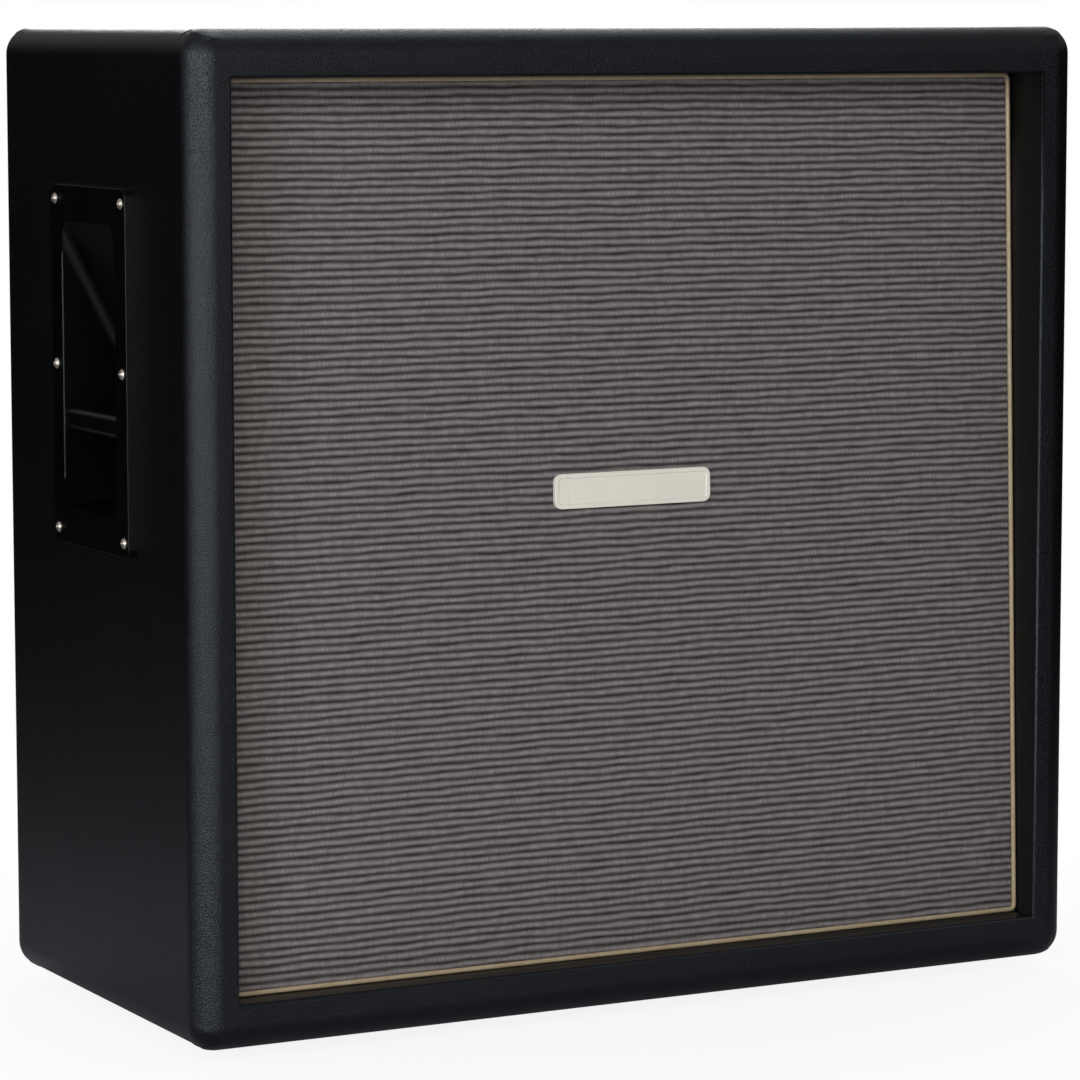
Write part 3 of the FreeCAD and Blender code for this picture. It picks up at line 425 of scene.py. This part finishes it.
# Moulded, painted and rubber looks share one recipe
mouldedSets = {
    "handle": {"base": (0.0005, 0.0005, 0.0006), "tint": (0.0009, 0.0009, 0.0010), "rough": (0.28, 0.38),
               "patch": 26.0, "grain": 2600.0, "depth": 0.00002, "sheen": 0.30},
    "badge": {"base": (0.66, 0.62, 0.54), "tint": (0.64, 0.60, 0.52), "rough": (0.24, 0.34),
              "patch": 18.0, "grain": 1800.0, "depth": 0.00003},
    "piping": {"base": (0.35, 0.28, 0.18), "tint": (0.29, 0.22, 0.13), "rough": (0.30, 0.42),
               "patch": 160.0, "grain": 3000.0, "depth": 0.00002},
    "dish_plastic": {"base": (0.008, 0.008, 0.009), "tint": (0.014, 0.014, 0.015), "rough": (0.32, 0.46),
                     "patch": 40.0, "grain": 1400.0, "depth": 0.00006},
    "jack_plastic": {"base": (0.010, 0.010, 0.011), "tint": (0.018, 0.018, 0.018), "rough": (0.36, 0.48),
                     "patch": 60.0, "grain": 1800.0, "depth": 0.00004},
    "rubber": {"base": (0.012, 0.012, 0.012), "tint": (0.028, 0.027, 0.026), "rough": (0.68, 0.86),
               "patch": 60.0, "grain": 1200.0, "depth": 0.00012},
    "gasket": {"base": (0.045, 0.040, 0.034), "tint": (0.09, 0.075, 0.055), "rough": (0.85, 0.95),
               "patch": 90.0, "grain": 700.0, "depth": 0.0004},
    "chassis_paint": {"base": (0.05, 0.052, 0.055), "tint": (0.085, 0.087, 0.09), "rough": (0.35, 0.5),
                      "patch": 70.0, "grain": 420.0, "depth": 0.0002},
    "ferrite": {"base": (0.022, 0.022, 0.024), "tint": (0.04, 0.04, 0.042), "rough": (0.55, 0.7),
                "patch": 50.0, "grain": 1500.0, "depth": 0.00015},
    "cone_paper": {"base": (0.035, 0.031, 0.028), "tint": (0.055, 0.05, 0.045), "rough": (0.78, 0.92),
                   "patch": 120.0, "grain": 520.0, "depth": 0.0003},
    "tag_board": {"base": (0.18, 0.09, 0.035), "tint": (0.24, 0.13, 0.05), "rough": (0.5, 0.62),
                  "patch": 150.0, "grain": 1600.0, "depth": 0.00008},
    "cable": {"base": (0.010, 0.010, 0.010), "tint": (0.016, 0.016, 0.016), "rough": (0.42, 0.55),
              "patch": 120.0, "grain": 1800.0, "depth": 0.00005},
    "clip_plastic": {"base": (0.55, 0.54, 0.50), "tint": (0.46, 0.45, 0.41), "rough": (0.42, 0.55),
                     "patch": 140.0, "grain": 1800.0, "depth": 0.00005},
}
mouldedShared = {"sheen": 0.5, "smudgeShare": 0.6, "bump": 0.5}


def mouldedLook(slot):
    settings = mouldedSets[slot]
    sheen = settings.get("sheen", mouldedShared["sheen"])
    look, tree, shader, place = startLook(slot + "Look", {"Specular IOR Level": sheen})
    grain = addGroup(tree, pebbleGrain, {"Vector": place, "Scale": settings["grain"]})
    mottle = addGroup(tree, softPatches, {
        "Vector": place, "Scale": settings["patch"], "Low": 0.0, "High": 1.0,
    })
    smudge = addGroup(tree, softPatches, {
        "Vector": place, "Scale": settings["patch"] * mouldedShared["smudgeShare"],
        "Low": settings["rough"][0], "High": settings["rough"][1],
    })
    colour = mixColour(tree, mottle["Value"], rgba(settings["base"]), rgba(settings["tint"]))
    tree.links.new(colour, shader.inputs["Base Color"])
    tree.links.new(smudge["Value"], shader.inputs["Roughness"])
    addBump(tree, shader, grain["Height"], mouldedShared["bump"], settings["depth"])
    return look


metalSets = {
    "nickel": {"base": (0.66, 0.62, 0.55), "dull": (0.50, 0.46, 0.40), "rough": (0.34, 0.46)},
    "black_steel": {"base": (0.045, 0.045, 0.048), "dull": (0.09, 0.088, 0.085), "rough": (0.34, 0.5)},
    "zinc": {"base": (0.58, 0.58, 0.57), "dull": (0.44, 0.43, 0.40), "rough": (0.3, 0.48)},
    "motor_steel": {"base": (0.50, 0.50, 0.50), "dull": (0.36, 0.36, 0.35), "rough": (0.32, 0.46)},
    "voice_coil": {"base": (0.62, 0.28, 0.12), "dull": (0.46, 0.20, 0.09), "rough": (0.32, 0.45)},
}
metalShared = {"tarnish": 160.0, "polish": 420.0, "grain": 3000.0, "bump": 0.3, "depth": 0.00002}


def metalLook(slot):
    settings = metalSets[slot]
    look, tree, shader, place = startLook(slot + "Look", {"Metallic": 1.0})
    tarnish = addGroup(tree, softPatches, {
        "Vector": place, "Scale": metalShared["tarnish"], "Low": 0.0, "High": 1.0,
    })
    polish = addGroup(tree, softPatches, {
        "Vector": place, "Scale": metalShared["polish"],
        "Low": settings["rough"][0], "High": settings["rough"][1],
    })
    grain = addGroup(tree, pebbleGrain, {"Vector": place, "Scale": metalShared["grain"]})
    colour = mixColour(tree, tarnish["Value"], rgba(settings["base"]), rgba(settings["dull"]))
    tree.links.new(colour, shader.inputs["Base Color"])
    tree.links.new(polish["Value"], shader.inputs["Roughness"])
    addBump(tree, shader, grain["Height"], metalShared["bump"], metalShared["depth"])
    return look


dopedSets = {
    "surround_cloth": {"base": (0.030, 0.027, 0.024), "thread": (0.06, 0.055, 0.05), "rough": 0.55},
    "spider_cloth": {"base": (0.34, 0.19, 0.07), "thread": (0.48, 0.30, 0.13), "rough": 0.7},
}
dopedShared = {"threads": 900.0, "bump": 0.5, "depth": 0.0002}


def dopedLook(slot):
    settings = dopedSets[slot]
    look, tree, shader, place = startLook(slot + "Look", {"Roughness": settings["rough"]})
    turned = addNode(tree, "Mapping", {"Vector": place, "Rotation": (math.radians(90), 0, 0)})
    weave = addGroup(tree, yarnWeave, {
        "Vector": turned.outputs[0], "Ribs": dopedShared["threads"], "Threads": dopedShared["threads"],
    })
    colour = mixColour(tree, weave["Height"], rgba(settings["base"]), rgba(settings["thread"]))
    tree.links.new(colour, shader.inputs["Base Color"])
    addBump(tree, shader, weave["Height"], dopedShared["bump"], dopedShared["depth"])
    return look


looks = {"vinyl": vinylLook(), "grille_cloth": grilleLook()}
looks.update({slot: woodLook(slot) for slot in woodSets})
looks.update({slot: mouldedLook(slot) for slot in mouldedSets})
looks.update({slot: metalLook(slot) for slot in metalSets})
looks.update({slot: dopedLook(slot) for slot in dopedSets})
for nodeName, nodePiece in frame["nodes"].items():
    if not nodePiece.material_slots:
        nodePiece.data.materials.append(None)
    nodePiece.material_slots[0].material = looks[slotOf[nodeName]]
print("looks built:", len(looks))


# Turning a bmesh into a piece

def makePiece(name, bm, slot, body="cabinet", stands=(), sharp=38.0):
    for face in bm.faces:
        face.smooth = True
    for edge in bm.edges:
        if len(edge.link_faces) == 2 and edge.calc_face_angle() > math.radians(sharp):
            edge.smooth = False
    mesh = bpy.data.meshes.new(name)
    bm.to_mesh(mesh)
    bm.free()
    mesh.materials.append(looks[slot])
    piece = bpy.data.objects.new(name, mesh)
    scene.collection.objects.link(piece)
    if body:
        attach(piece, body)
    if stands:
        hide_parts(*stands)
    print("made", name, len(mesh.polygons), "faces")
    return piece


def addSkin(piece, thickness):
    skin = piece.modifiers.new("skin", "SOLIDIFY")
    skin.thickness = thickness
    skin.offset = -1.0
    skin.use_even_offset = True


def evenShade(piece):
    shade = piece.modifiers.new("evenShade", "WEIGHTED_NORMAL")
    shade.keep_sharp = True
    shade.weight = 80


# Vinyl covering: rounded box, front opening with its reveal, rear lining and the two handle holes
shellSet = {
    "round": 0.020, "roundSegments": 10, "lipRound": 0.002, "lipSegments": 4, "skin": 0.001,
    "tuck": 0.0003, "rearInset": 0.0006, "holeHalf": (0.060, 0.114), "sharp": 50.0,
}


def flatFace(bm, direction):
    facing = [face for face in bm.faces if face.normal.dot(direction) > flatCosine]
    return max(facing, key=lambda face: face.calc_area())


def plainBox(low, high):
    bm = bmesh.new()
    bmesh.ops.create_cube(bm, size=1.0)
    bmesh.ops.scale(bm, vec=high - low, verts=bm.verts)
    bmesh.ops.translate(bm, vec=(low + high) / 2, verts=bm.verts)
    return bm


def roundEdges(bm, edges, radius, segments):
    bmesh.ops.bevel(
        bm, geom=edges, offset=radius, offset_type="OFFSET", segments=segments,
        profile=0.5, affect="EDGES", material=-1,
    )


def openFace(bm, face, halfX, lowZ, highZ):
    # insets a level face to the given opening, pushes it in and takes its end away
    # what it gives back are the corners that were pushed in
    bmesh.ops.inset_individual(bm, faces=[face], thickness=shellSet["rearInset"], use_even_offset=True)
    for vert in face.verts:
        vert.co.x = math.copysign(halfX, vert.co.x)
        vert.co.z = highZ if vert.co.z > shellMid.z else lowZ
    pushed = bmesh.ops.extrude_face_region(bm, geom=[face])["geom"]
    inner = [item for item in pushed if isinstance(item, bmesh.types.BMVert)]
    ends = [item for item in pushed if isinstance(item, bmesh.types.BMFace)]
    bmesh.ops.delete(bm, geom=ends + ([face] if face.is_valid else []), context="FACES_ONLY")
    return inner


def clothY(z):
    return clothMidY + (z - clothMidZ) * math.tan(lean)


def cutRound(bm, middle, halves):
    # cuts the faces along the four sides of an oblong seen from the side
    for axis, half in zip((1, 2), halves):
        for side in (-1, 1):
            spot = middle.copy()
            spot[axis] += side * half
            normal = Vector((0, 0, 0))
            normal[axis] = 1.0
            everything = bm.verts[:] + bm.edges[:] + bm.faces[:]
            bmesh.ops.bisect_plane(bm, geom=everything, plane_co=spot, plane_no=normal)


def buildShell():
    bm = plainBox(shellLow, shellHigh)
    roundEdges(bm, bm.edges[:], shellSet["round"], shellSet["roundSegments"])
    bm.normal_update()
    skin = shellSet["skin"]
    openX = -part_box("front_lip_left")[1].x - skin
    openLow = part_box("front_lip_bottom")[1].z + skin
    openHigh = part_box("front_lip_top")[0].z - skin
    for vert in openFace(bm, flatFace(bm, Vector((0, -1, 0))), openX, openLow, openHigh):
        vert.co.y = clothY(vert.co.z) + shellSet["tuck"]
    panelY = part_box("back_panel_covering")[0].y
    rearGap = shellSet["round"] + shellSet["rearInset"]
    rearX, rearLow, rearHigh = shellHalf.x - rearGap, shellLow.z + rearGap, shellHigh.z - rearGap
    for vert in openFace(bm, flatFace(bm, Vector((0, 1, 0))), rearX, rearLow, rearHigh):
        vert.co.y = panelY
    handleLow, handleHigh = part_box("left_handle")
    holeMid = (handleLow + handleHigh) / 2
    holeY, holeZ = shellSet["holeHalf"]
    cutRound(bm, holeMid, shellSet["holeHalf"])
    holes = []
    for face in bm.faces:
        middle = face.calc_center_median()
        onSide = abs(face.normal.x) > flatCosine and abs(middle.x) > shellHalf.x - skin
        if onSide and abs(middle.y - holeMid.y) < holeY and abs(middle.z - holeMid.z) < holeZ:
            holes.append(face)
    bmesh.ops.delete(bm, geom=holes, context="FACES")

    def onLip(vert):
        x, y, z = abs(vert.co.x), vert.co.y, vert.co.z
        within = x < openX + tight and openLow - tight < z < openHigh + tight
        onBorder = min(abs(x - openX), abs(z - openLow), abs(z - openHigh)) < tight
        return abs(y - shellLow.y) < tight and within and onBorder

    lipEdges = [edge for edge in bm.edges if all(onLip(vert) for vert in edge.verts)]
    roundEdges(bm, lipEdges, shellSet["lipRound"], shellSet["lipSegments"])
    piece = makePiece("vinylShell", bm, "vinyl", stands=["shell_covering"], sharp=shellSet["sharp"])
    addSkin(piece, skin)
    evenShade(piece)


# A lap of folded vinyl over each corner: its hem arches over the end of the upright rounding.
# The hem is a line of (millimetres round the corner from the front, degrees above the upright)
foldSet = {
    "hem": [(-13.0, 31.0), (0.0, 33.5), (2.5, 33.7), (12.2, 40.5), (26.5, 50.0), (31.4, 57.0),
            (35.5, 66.0), (37.2, 55.0), (38.6, 40.0), (40.0, 24.0)],
    "start": -0.014, "stop": 0.047, "low": 12.0, "high": 88.0, "across": 122, "up": 58,
    "lift": 0.00055, "roll": 0.0024, "bury": 0.00015, "sunkShare": 0.9, "skin": 0.0005, "fade": 0.16,
    "sharp": 80.0,
}
hemLine = [
    Vector((along / 1000, shellSet["round"] * math.radians(tilt))) for along, tilt in foldSet["hem"]
]
hemLengths = [(second - first).length for first, second in zip(hemLine, hemLine[1:])]


def hemDistance(spot):
    # how far a flat spot is from the hem, above it or not, and how far along the hem that is
    whole = sum(hemLengths)
    best, share, passed, under = 1.0, 0.0, 0.0, 0.0
    for first, second, length in zip(hemLine, hemLine[1:], hemLengths):
        part = max(0.0, min(1.0, (spot - first).dot(second - first) / length ** 2))
        gap = (spot - first.lerp(second, part)).length
        if gap < best:
            best, share = gap, (passed + part * length) / whole
        if first.x <= spot.x <= second.x:
            under = first.y + (second.y - first.y) * (spot.x - first.x) / (second.x - first.x)
        passed += length
    return (best if spot.y > under else -best), share


def buildFold(number, sideX, sideY, sideZ):
    radius = shellSet["round"]
    quarter = radius * math.pi / 2
    centre = Vector((
        shellMid.x + sideX * (shellHalf.x - radius),
        shellMid.y + sideY * (shellHalf.y - radius),
        shellMid.z + sideZ * (shellHalf.z - radius),
    ))
    bm = bmesh.new()
    bmesh.ops.create_grid(bm, x_segments=foldSet["across"], y_segments=foldSet["up"], size=1.0)
    sunk = set()
    for vert in bm.verts:
        along = foldSet["start"] + (foldSet["stop"] - foldSet["start"]) * (vert.co.x + 1) / 2
        tilt = math.radians(foldSet["low"] + (foldSet["high"] - foldSet["low"]) * (vert.co.y + 1) / 2)
        gap, share = hemDistance(Vector((along, radius * tilt)))
        ends = min(1.0, share / foldSet["fade"], (1 - share) / foldSet["fade"])
        rise = max(0.0, gap / foldSet["roll"])
        lift = foldSet["lift"] * ends * rise * math.exp(1 - rise) - foldSet["bury"]
        if lift < -foldSet["sunkShare"] * foldSet["bury"]:
            sunk.add(vert)
        heading = max(0.0, min(quarter, along)) / radius
        offset = Vector((-sideX * max(0.0, -along), -sideY * max(0.0, along - quarter), 0))
        vert.co = centre + offset + (radius + lift) * Vector((
            sideX * math.cos(tilt) * math.sin(heading),
            sideY * math.cos(tilt) * math.cos(heading),
            sideZ * math.sin(tilt),
        ))
    hidden = [face for face in bm.faces if all(vert in sunk for vert in face.verts)]
    bmesh.ops.delete(bm, geom=hidden, context="FACES")
    bm.normal_update()
    if sum(face.normal.dot(face.calc_center_median() - centre) for face in bm.faces) < 0:
        bmesh.ops.reverse_faces(bm, faces=bm.faces)
    piece = makePiece(f"cornerFold_{number}", bm, "vinyl", sharp=foldSet["sharp"])
    addSkin(piece, foldSet["skin"])


# Ribbed grille cloth stretched over the baffle

def buildCloth():
    width, height = clothSize
    strayX, strayZ = clothSet["wanderScale"]
    bm = bmesh.new()
    bm.loops.layers.uv.new("UVMap")
    rows = ribCount * clothSet["stepsPerRib"]
    bmesh.ops.create_grid(bm, x_segments=clothSet["columns"], y_segments=rows, size=0.5, calc_uvs=True)
    for vert in bm.verts:
        x, z = vert.co.x * width, vert.co.y * height
        crest = abs(math.sin(math.pi * (vert.co.y + 0.5) * ribCount)) ** clothSet["ribRound"]
        place = Vector((x * strayX, z * strayZ, clothSet["wanderLayer"]))
        stray = clothSet["wander"] * noise.noise(place)
        vert.co = baffleFrame @ Vector((x, clothSet["ribHeight"] * (1 - crest), z + stray))
    bm.normal_update()
    if sum(face.normal.y for face in bm.faces) > 0:
        bmesh.ops.reverse_faces(bm, faces=bm.faces)
    piece = makePiece(
        "grilleCloth", bm, "grille_cloth", stands=["grille_cloth"], sharp=clothSet["sharp"]
    )
    addSkin(piece, clothSet["sheet"])


# Plain plate in the middle of the cloth
badgeSet = {
    "corner": 0.006, "cornerSegments": 8, "rim": 0.0030, "dish": 0.0007, "edge": 0.0005,
    "edgeSegments": 3, "edgeAngle": 60.0,
}


def buildBadge():
    low, high = leaningBox("blank_badge")
    bm = plainBox(low, Vector((high.x, 0, high.z)))
    upright = [edge for edge in bm.edges if abs(edge.verts[0].co.y - edge.verts[1].co.y) > tight]
    roundEdges(bm, upright, badgeSet["corner"], badgeSet["cornerSegments"])
    bm.normal_update()
    front = flatFace(bm, Vector((0, -1, 0)))
    bmesh.ops.inset_individual(bm, faces=[front], thickness=badgeSet["rim"], use_even_offset=True)
    bmesh.ops.inset_individual(
        bm, faces=[front], thickness=badgeSet["dish"], depth=-badgeSet["dish"], use_even_offset=True
    )
    outline = [
        edge for edge in bm.edges
        if edge.calc_face_angle() > math.radians(badgeSet["edgeAngle"])
        and all(vert.co.y < low.y / 2 for vert in edge.verts)
    ]
    roundEdges(bm, outline, badgeSet["edge"], badgeSet["edgeSegments"])
    bmesh.ops.transform(bm, matrix=baffleFrame, verts=bm.verts)
    evenShade(makePiece("plainBadge", bm, "badge", stands=["blank_badge"]))


# Driver surrounds and spiders, spun and blended between the cabinet and their cones
spunSet = {"steps": 96, "sharp": 70.0}
surroundSet = {
    "rolls": 3, "rollWidth": 0.012, "rollHeight": 0.0024, "perRoll": 8, "flat": 0.004,
    "setback": 0.003, "lip": 0.0075, "sheet": 0.0008,
}
spiderSet = {
    "inner": 0.02585, "flat": 0.002, "waves": 5, "waveHeight": 0.0015, "perWave": 8, "rise": 0.004,
    "seat": 0.0692, "last": 0.060, "sheet": 0.0008,
}


def spinOutline(bm, outline, steps):
    # spins a closed outline of (radius, depth) points round the y axis
    verts = [bm.verts.new((radius, depth, 0)) for radius, depth in outline]
    edges = [bm.edges.new((verts[index - 1], verts[index])) for index in range(len(verts))]
    bmesh.ops.spin(
        bm, geom=verts + edges, cent=(0, 0, 0), axis=(0, 1, 0), angle=2 * math.pi,
        steps=steps, use_merge=True,
    )


def wavyRun(first, last, waves, perWave, height):
    # the points of a run of waves from one (radius, depth) point to another, without its ends
    steps = waves * perWave
    run = []
    for step in range(1, steps):
        share = step / steps
        wave = height * math.sin(2 * math.pi * waves * share)
        radius = first[0] + (last[0] - first[0]) * share
        run.append((radius, first[1] + (last[1] - first[1]) * share - wave))
    return run


def spunPiece(name, front, sheet, spot, slot, stands):
    # a thin ring about the axis of one driver, from the points of its front
    back = [(radius, depth + sheet) for radius, depth in reversed(front)]
    bm = bmesh.new()
    spinOutline(bm, front + back, spunSet["steps"])
    bmesh.ops.remove_doubles(bm, verts=bm.verts, dist=tight)
    bmesh.ops.recalc_face_normals(bm, faces=bm.faces)
    bmesh.ops.transform(bm, matrix=baffleFrame @ Matrix.Translation(spot), verts=bm.verts)
    return makePiece(name, bm, slot, body=None, stands=stands, sharp=spunSet["sharp"])


def driverSpot(low, high):
    return Vector(((low.x + high.x) / 2, 0, (low.z + high.z) / 2))


def buildSurround(number):
    node = f"driver_surround_{number}"
    spot = driverSpot(*leaningBox(node))
    coneLow, coneHigh = leaningBox(f"driver_cone_{number}")
    edge = (coneHigh.x - coneLow.x) / 2
    lipFront = leaningBox("driver_gaskets")[1].y
    flat = lipFront + surroundSet["setback"]
    lipEdge = edge + surroundSet["rollWidth"]
    rolls = wavyRun(
        (edge, flat), (lipEdge, lipFront),
        surroundSet["rolls"], surroundSet["perRoll"], surroundSet["rollHeight"],
    )
    front = [(edge - surroundSet["flat"], flat), (edge, flat)] + rolls
    front += [(lipEdge, lipFront), (lipEdge + surroundSet["lip"], lipFront)]
    sheet = surroundSet["sheet"]
    piece = spunPiece(f"surround_{number}", front, sheet, spot, "surround_cloth", [node])
    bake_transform(piece)


def buildSpider(number):
    node = f"driver_spider_{number}"
    low, high = leaningBox(node)
    spot = driverSpot(low, high)
    seat = leaningBox("driver_gaskets")[0].y + spiderSet["seat"]
    flat = seat - spiderSet["rise"]
    inner, last = spiderSet["inner"], spiderSet["last"]
    first = inner + spiderSet["flat"]
    waves = wavyRun(
        (first, flat), (last, seat), spiderSet["waves"], spiderSet["perWave"], spiderSet["waveHeight"]
    )
    front = [(inner, flat), (first, flat)] + waves + [(last, seat), ((high.x - low.x) / 2, seat)]
    sheet = spiderSet["sheet"]
    piece = spunPiece(f"spider_{number}", front, sheet, spot, "spider_cloth", [node])
    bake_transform(piece)


# Cup washers round the heads of the back panel's screws
washerSet = {
    "hole": 0.0042, "crown": 0.0052, "outer": 0.0078, "height": 0.0015, "innerShare": 0.9,
    "foot": 0.0003, "steps": 24,
}


def buildWashers():
    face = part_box("back_panel_covering")[1].y
    hole, outer, height = washerSet["hole"], washerSet["outer"], washerSet["height"]
    outline = [
        (hole, 0.0), (outer, 0.0), (outer, washerSet["foot"]),
        (washerSet["crown"], height), (hole, height * washerSet["innerShare"]),
    ]
    bm = bmesh.new()
    for middle in islandMiddles("back_panel_screws"):
        spinOutline(bm, outline, washerSet["steps"])
        ring = [vert for vert in bm.verts if not vert.tag]
        bmesh.ops.translate(bm, vec=(middle.x, face, middle.z), verts=ring)
        for vert in ring:
            vert.tag = True
    bmesh.ops.remove_doubles(bm, verts=bm.verts, dist=tight)
    bmesh.ops.recalc_face_normals(bm, faces=bm.faces)
    makePiece("panelWashers", bm, "black_steel")


buildShell()
corners = [(x, y, z) for z in (1, -1) for y in (-1, 1) for x in (-1, 1)]
for number, corner in enumerate(corners, start=1):
    buildFold(number, *corner)
buildCloth()
buildBadge()
for number in range(1, 5):
    buildSurround(number)
    buildSpider(number)
buildWashers()
print("pieces built")


# Stage: camera, floor, world and lamps
cameraSet = {
    "lens": 148.03, "place": (-1.5930, -3.0206, 0.7360), "down": 6.606, "right": 27.8, "roll": 0.06,
}


def buildCamera():
    data = bpy.data.cameras.new("photoCamera")
    data.lens = cameraSet["lens"]
    camera = bpy.data.objects.new("photoCamera", data)
    turn = Matrix.Rotation(-math.radians(cameraSet["right"]), 4, "Z")
    turn = turn @ Matrix.Rotation(math.radians(90 - cameraSet["down"]), 4, "X")
    turn = turn @ Matrix.Rotation(-math.radians(cameraSet["roll"]), 4, "Z")
    camera.matrix_world = Matrix.Translation(cameraSet["place"]) @ turn
    scene.collection.objects.link(camera)
    scene.camera = camera


floorSet = {
    "radius": 1.7, "segments": 96, "rough": 0.9, "colour": (0.86, 0.86, 0.86),
    "near": (0.36, 0.36, 0.38), "far": (0.08, 0.08, 0.085), "reach": (0.30, 1.15),
    "lit": (0.44, 0.46, 0.52), "leftward": (-0.30, -0.90), "forward": (0.0, -0.50),
    "fade": (0.25, 0.75), "least": 0.88,
}


def buildFloor():
    bm = bmesh.new()
    bmesh.ops.create_circle(
        bm, cap_ends=True, segments=floorSet["segments"], radius=floorSet["radius"]
    )
    mesh = bpy.data.meshes.new("floor")
    bm.to_mesh(mesh)
    bm.free()
    floor = bpy.data.objects.new("floor", mesh)
    scene.collection.objects.link(floor)
    look, tree, shader, place = startLook("paleFloor", {
        "Roughness": floorSet["rough"], "Specular IOR Level": 0.0,
    })
    rays = addNode(tree, "LightPath").outputs
    parts = addNode(tree, "SeparateXYZ", {0: place}).outputs
    # in reflections the floor shows a painted colour instead of its own: painted shade that deepens further out
    # and a painted pool of light at the front left
    leftward = addRange(tree, parts["X"], *floorSet["leftward"], 0.0, 1.0, smooth=True)
    forward = addRange(tree, parts["Y"], *floorSet["forward"], 0.0, 1.0, smooth=True)
    corner = addMath(tree, "MULTIPLY", leftward, forward)
    away = addNode(tree, "VectorMath", {0: place}, operation="LENGTH").outputs["Value"]
    distance = addRange(tree, away, *floorSet["reach"], 0.0, 1.0)
    around = mixColour(tree, distance, rgba(floorSet["near"]), rgba(floorSet["far"]))
    mirrored = mixColour(tree, corner, around, rgba(floorSet["lit"]))
    shade = mixColour(tree, rays["Is Glossy Ray"], rgba(floorSet["colour"]), mirrored)
    tree.links.new(shade, shader.inputs["Base Color"])
    fade = addRange(tree, away, *floorSet["fade"], floorSet["least"], 1.0, smooth=True)
    white = addNode(tree, "Emission", {"Color": rgba((1, 1, 1)), "Strength": 1.0})
    mixed = addNode(tree, "MixShader", {0: addMath(tree, "MULTIPLY", fade, rays["Is Camera Ray"])})
    tree.links.new(shader.outputs[0], mixed.inputs[1])
    tree.links.new(white.outputs[0], mixed.inputs[2])
    clear = addNode(tree, "BsdfTransparent")  # from underneath the floor is not there
    under = addNode(tree, "MixShader", {0: addNode(tree, "NewGeometry").outputs["Backfacing"]})
    tree.links.new(mixed.outputs[0], under.inputs[1])
    tree.links.new(clear.outputs[0], under.inputs[2])
    tree.links.new(under.outputs[0], tree.nodes["Material Output"].inputs["Surface"])
    mesh.materials.append(look)


worldSet = {
    "ambient": 0.30, "dim": 0.010, "bright": 14.0, "towards": (-0.682, -0.731, 0.0),
    "spread": (0.250, 0.93), "rise": (-0.005, 0.045), "fall": (0.045, 0.17), "high": 0.05,
    "ceiling": 0.27, "ceilingFrom": (0.08, 0.42),
}


def buildWorld():
    # white to the eye; in reflections a dark studio with one long soft light low at the front left
    world = bpy.data.worlds.new("studio")
    scene.world = world
    world.use_nodes = True
    tree = world.node_tree
    rays = addNode(tree, "LightPath").outputs
    shown = addMath(tree, "MAXIMUM", rays["Is Camera Ray"], rays["Is Transmission Ray"])
    heading = addNode(tree, "TexCoord").outputs["Generated"]
    facing = addNode(tree, "VectorMath", {0: heading, 1: worldSet["towards"]}, operation="DOT_PRODUCT")
    soft = addRange(
        tree, facing.outputs["Value"], *worldSet["spread"],
        worldSet["dim"], worldSet["bright"], smooth=True,
    )
    level = addNode(tree, "SeparateXYZ", {0: heading}).outputs["Z"]
    above = addRange(tree, level, *worldSet["rise"], 0.0, 1.0, smooth=True)
    below = addRange(tree, level, *worldSet["fall"], 1.0, worldSet["high"], smooth=True)
    ceiling = addRange(tree, level, *worldSet["ceilingFrom"], 0.0, worldSet["ceiling"], smooth=True)
    mirrored = addMath(tree, "MULTIPLY", soft, addMath(tree, "MULTIPLY", above, below))
    mirrored = addMath(tree, "ADD", mirrored, ceiling)
    mirrored = addMath(tree, "MULTIPLY", rays["Is Glossy Ray"], mirrored)
    plain = addMath(tree, "SUBTRACT", 1.0, rays["Is Glossy Ray"])
    ambient = addMath(tree, "MULTIPLY", plain, worldSet["ambient"])
    strength = addMath(tree, "MAXIMUM", shown, addMath(tree, "ADD", mirrored, ambient))
    background = tree.nodes["Background"]
    background.inputs["Color"].default_value = rgba((1, 1, 1))
    tree.links.new(strength, background.inputs["Strength"])


lampSets = {
    "keyLamp": {
        "place": (-1.9, -3.9, 1.9), "aim": (0.0, -0.18, 0.38), "size": (2.2, 2.2),
        "power": 102.0, "colour": (1.0, 0.98, 0.97), "mirrored": False,
    },
    "leftLamp": {
        "place": (-2.45, -1.70, 1.05), "aim": (-0.36, -0.16, 0.50), "size": (1.0, 1.3),
        "power": 40.0, "colour": (0.80, 0.88, 1.0), "mirrored": False,
    },
    "topLamp": {
        "place": (0.25, 0.30, 1.85), "aim": (-0.15, -0.05, 0.72), "size": (0.9, 1.2),
        "power": 5.6, "colour": (0.88, 0.94, 1.0), "mirrored": True,
    },
    "backLamp": {
        "place": (1.6, 3.4, 2.1), "aim": (0.0, 0.18, 0.38), "size": (2.0, 2.0),
        "power": 80.0, "colour": (1.0, 0.98, 0.97), "mirrored": True,
    },
}


def buildLamps():
    for name, settings in lampSets.items():
        data = bpy.data.lights.new(name, "AREA")
        data.shape = "RECTANGLE"
        data.size, data.size_y = settings["size"]
        data.energy = settings["power"]
        data.color = settings["colour"]
        lamp = bpy.data.objects.new(name, data)
        lamp.location = settings["place"]
        aim = Vector(settings["aim"]) - Vector(settings["place"])
        lamp.rotation_euler = aim.to_track_quat("-Z", "Y").to_euler()
        lamp.visible_glossy = settings["mirrored"]
        scene.collection.objects.link(lamp)


buildCamera()
buildFloor()
buildWorld()
buildLamps()
print("stage built")
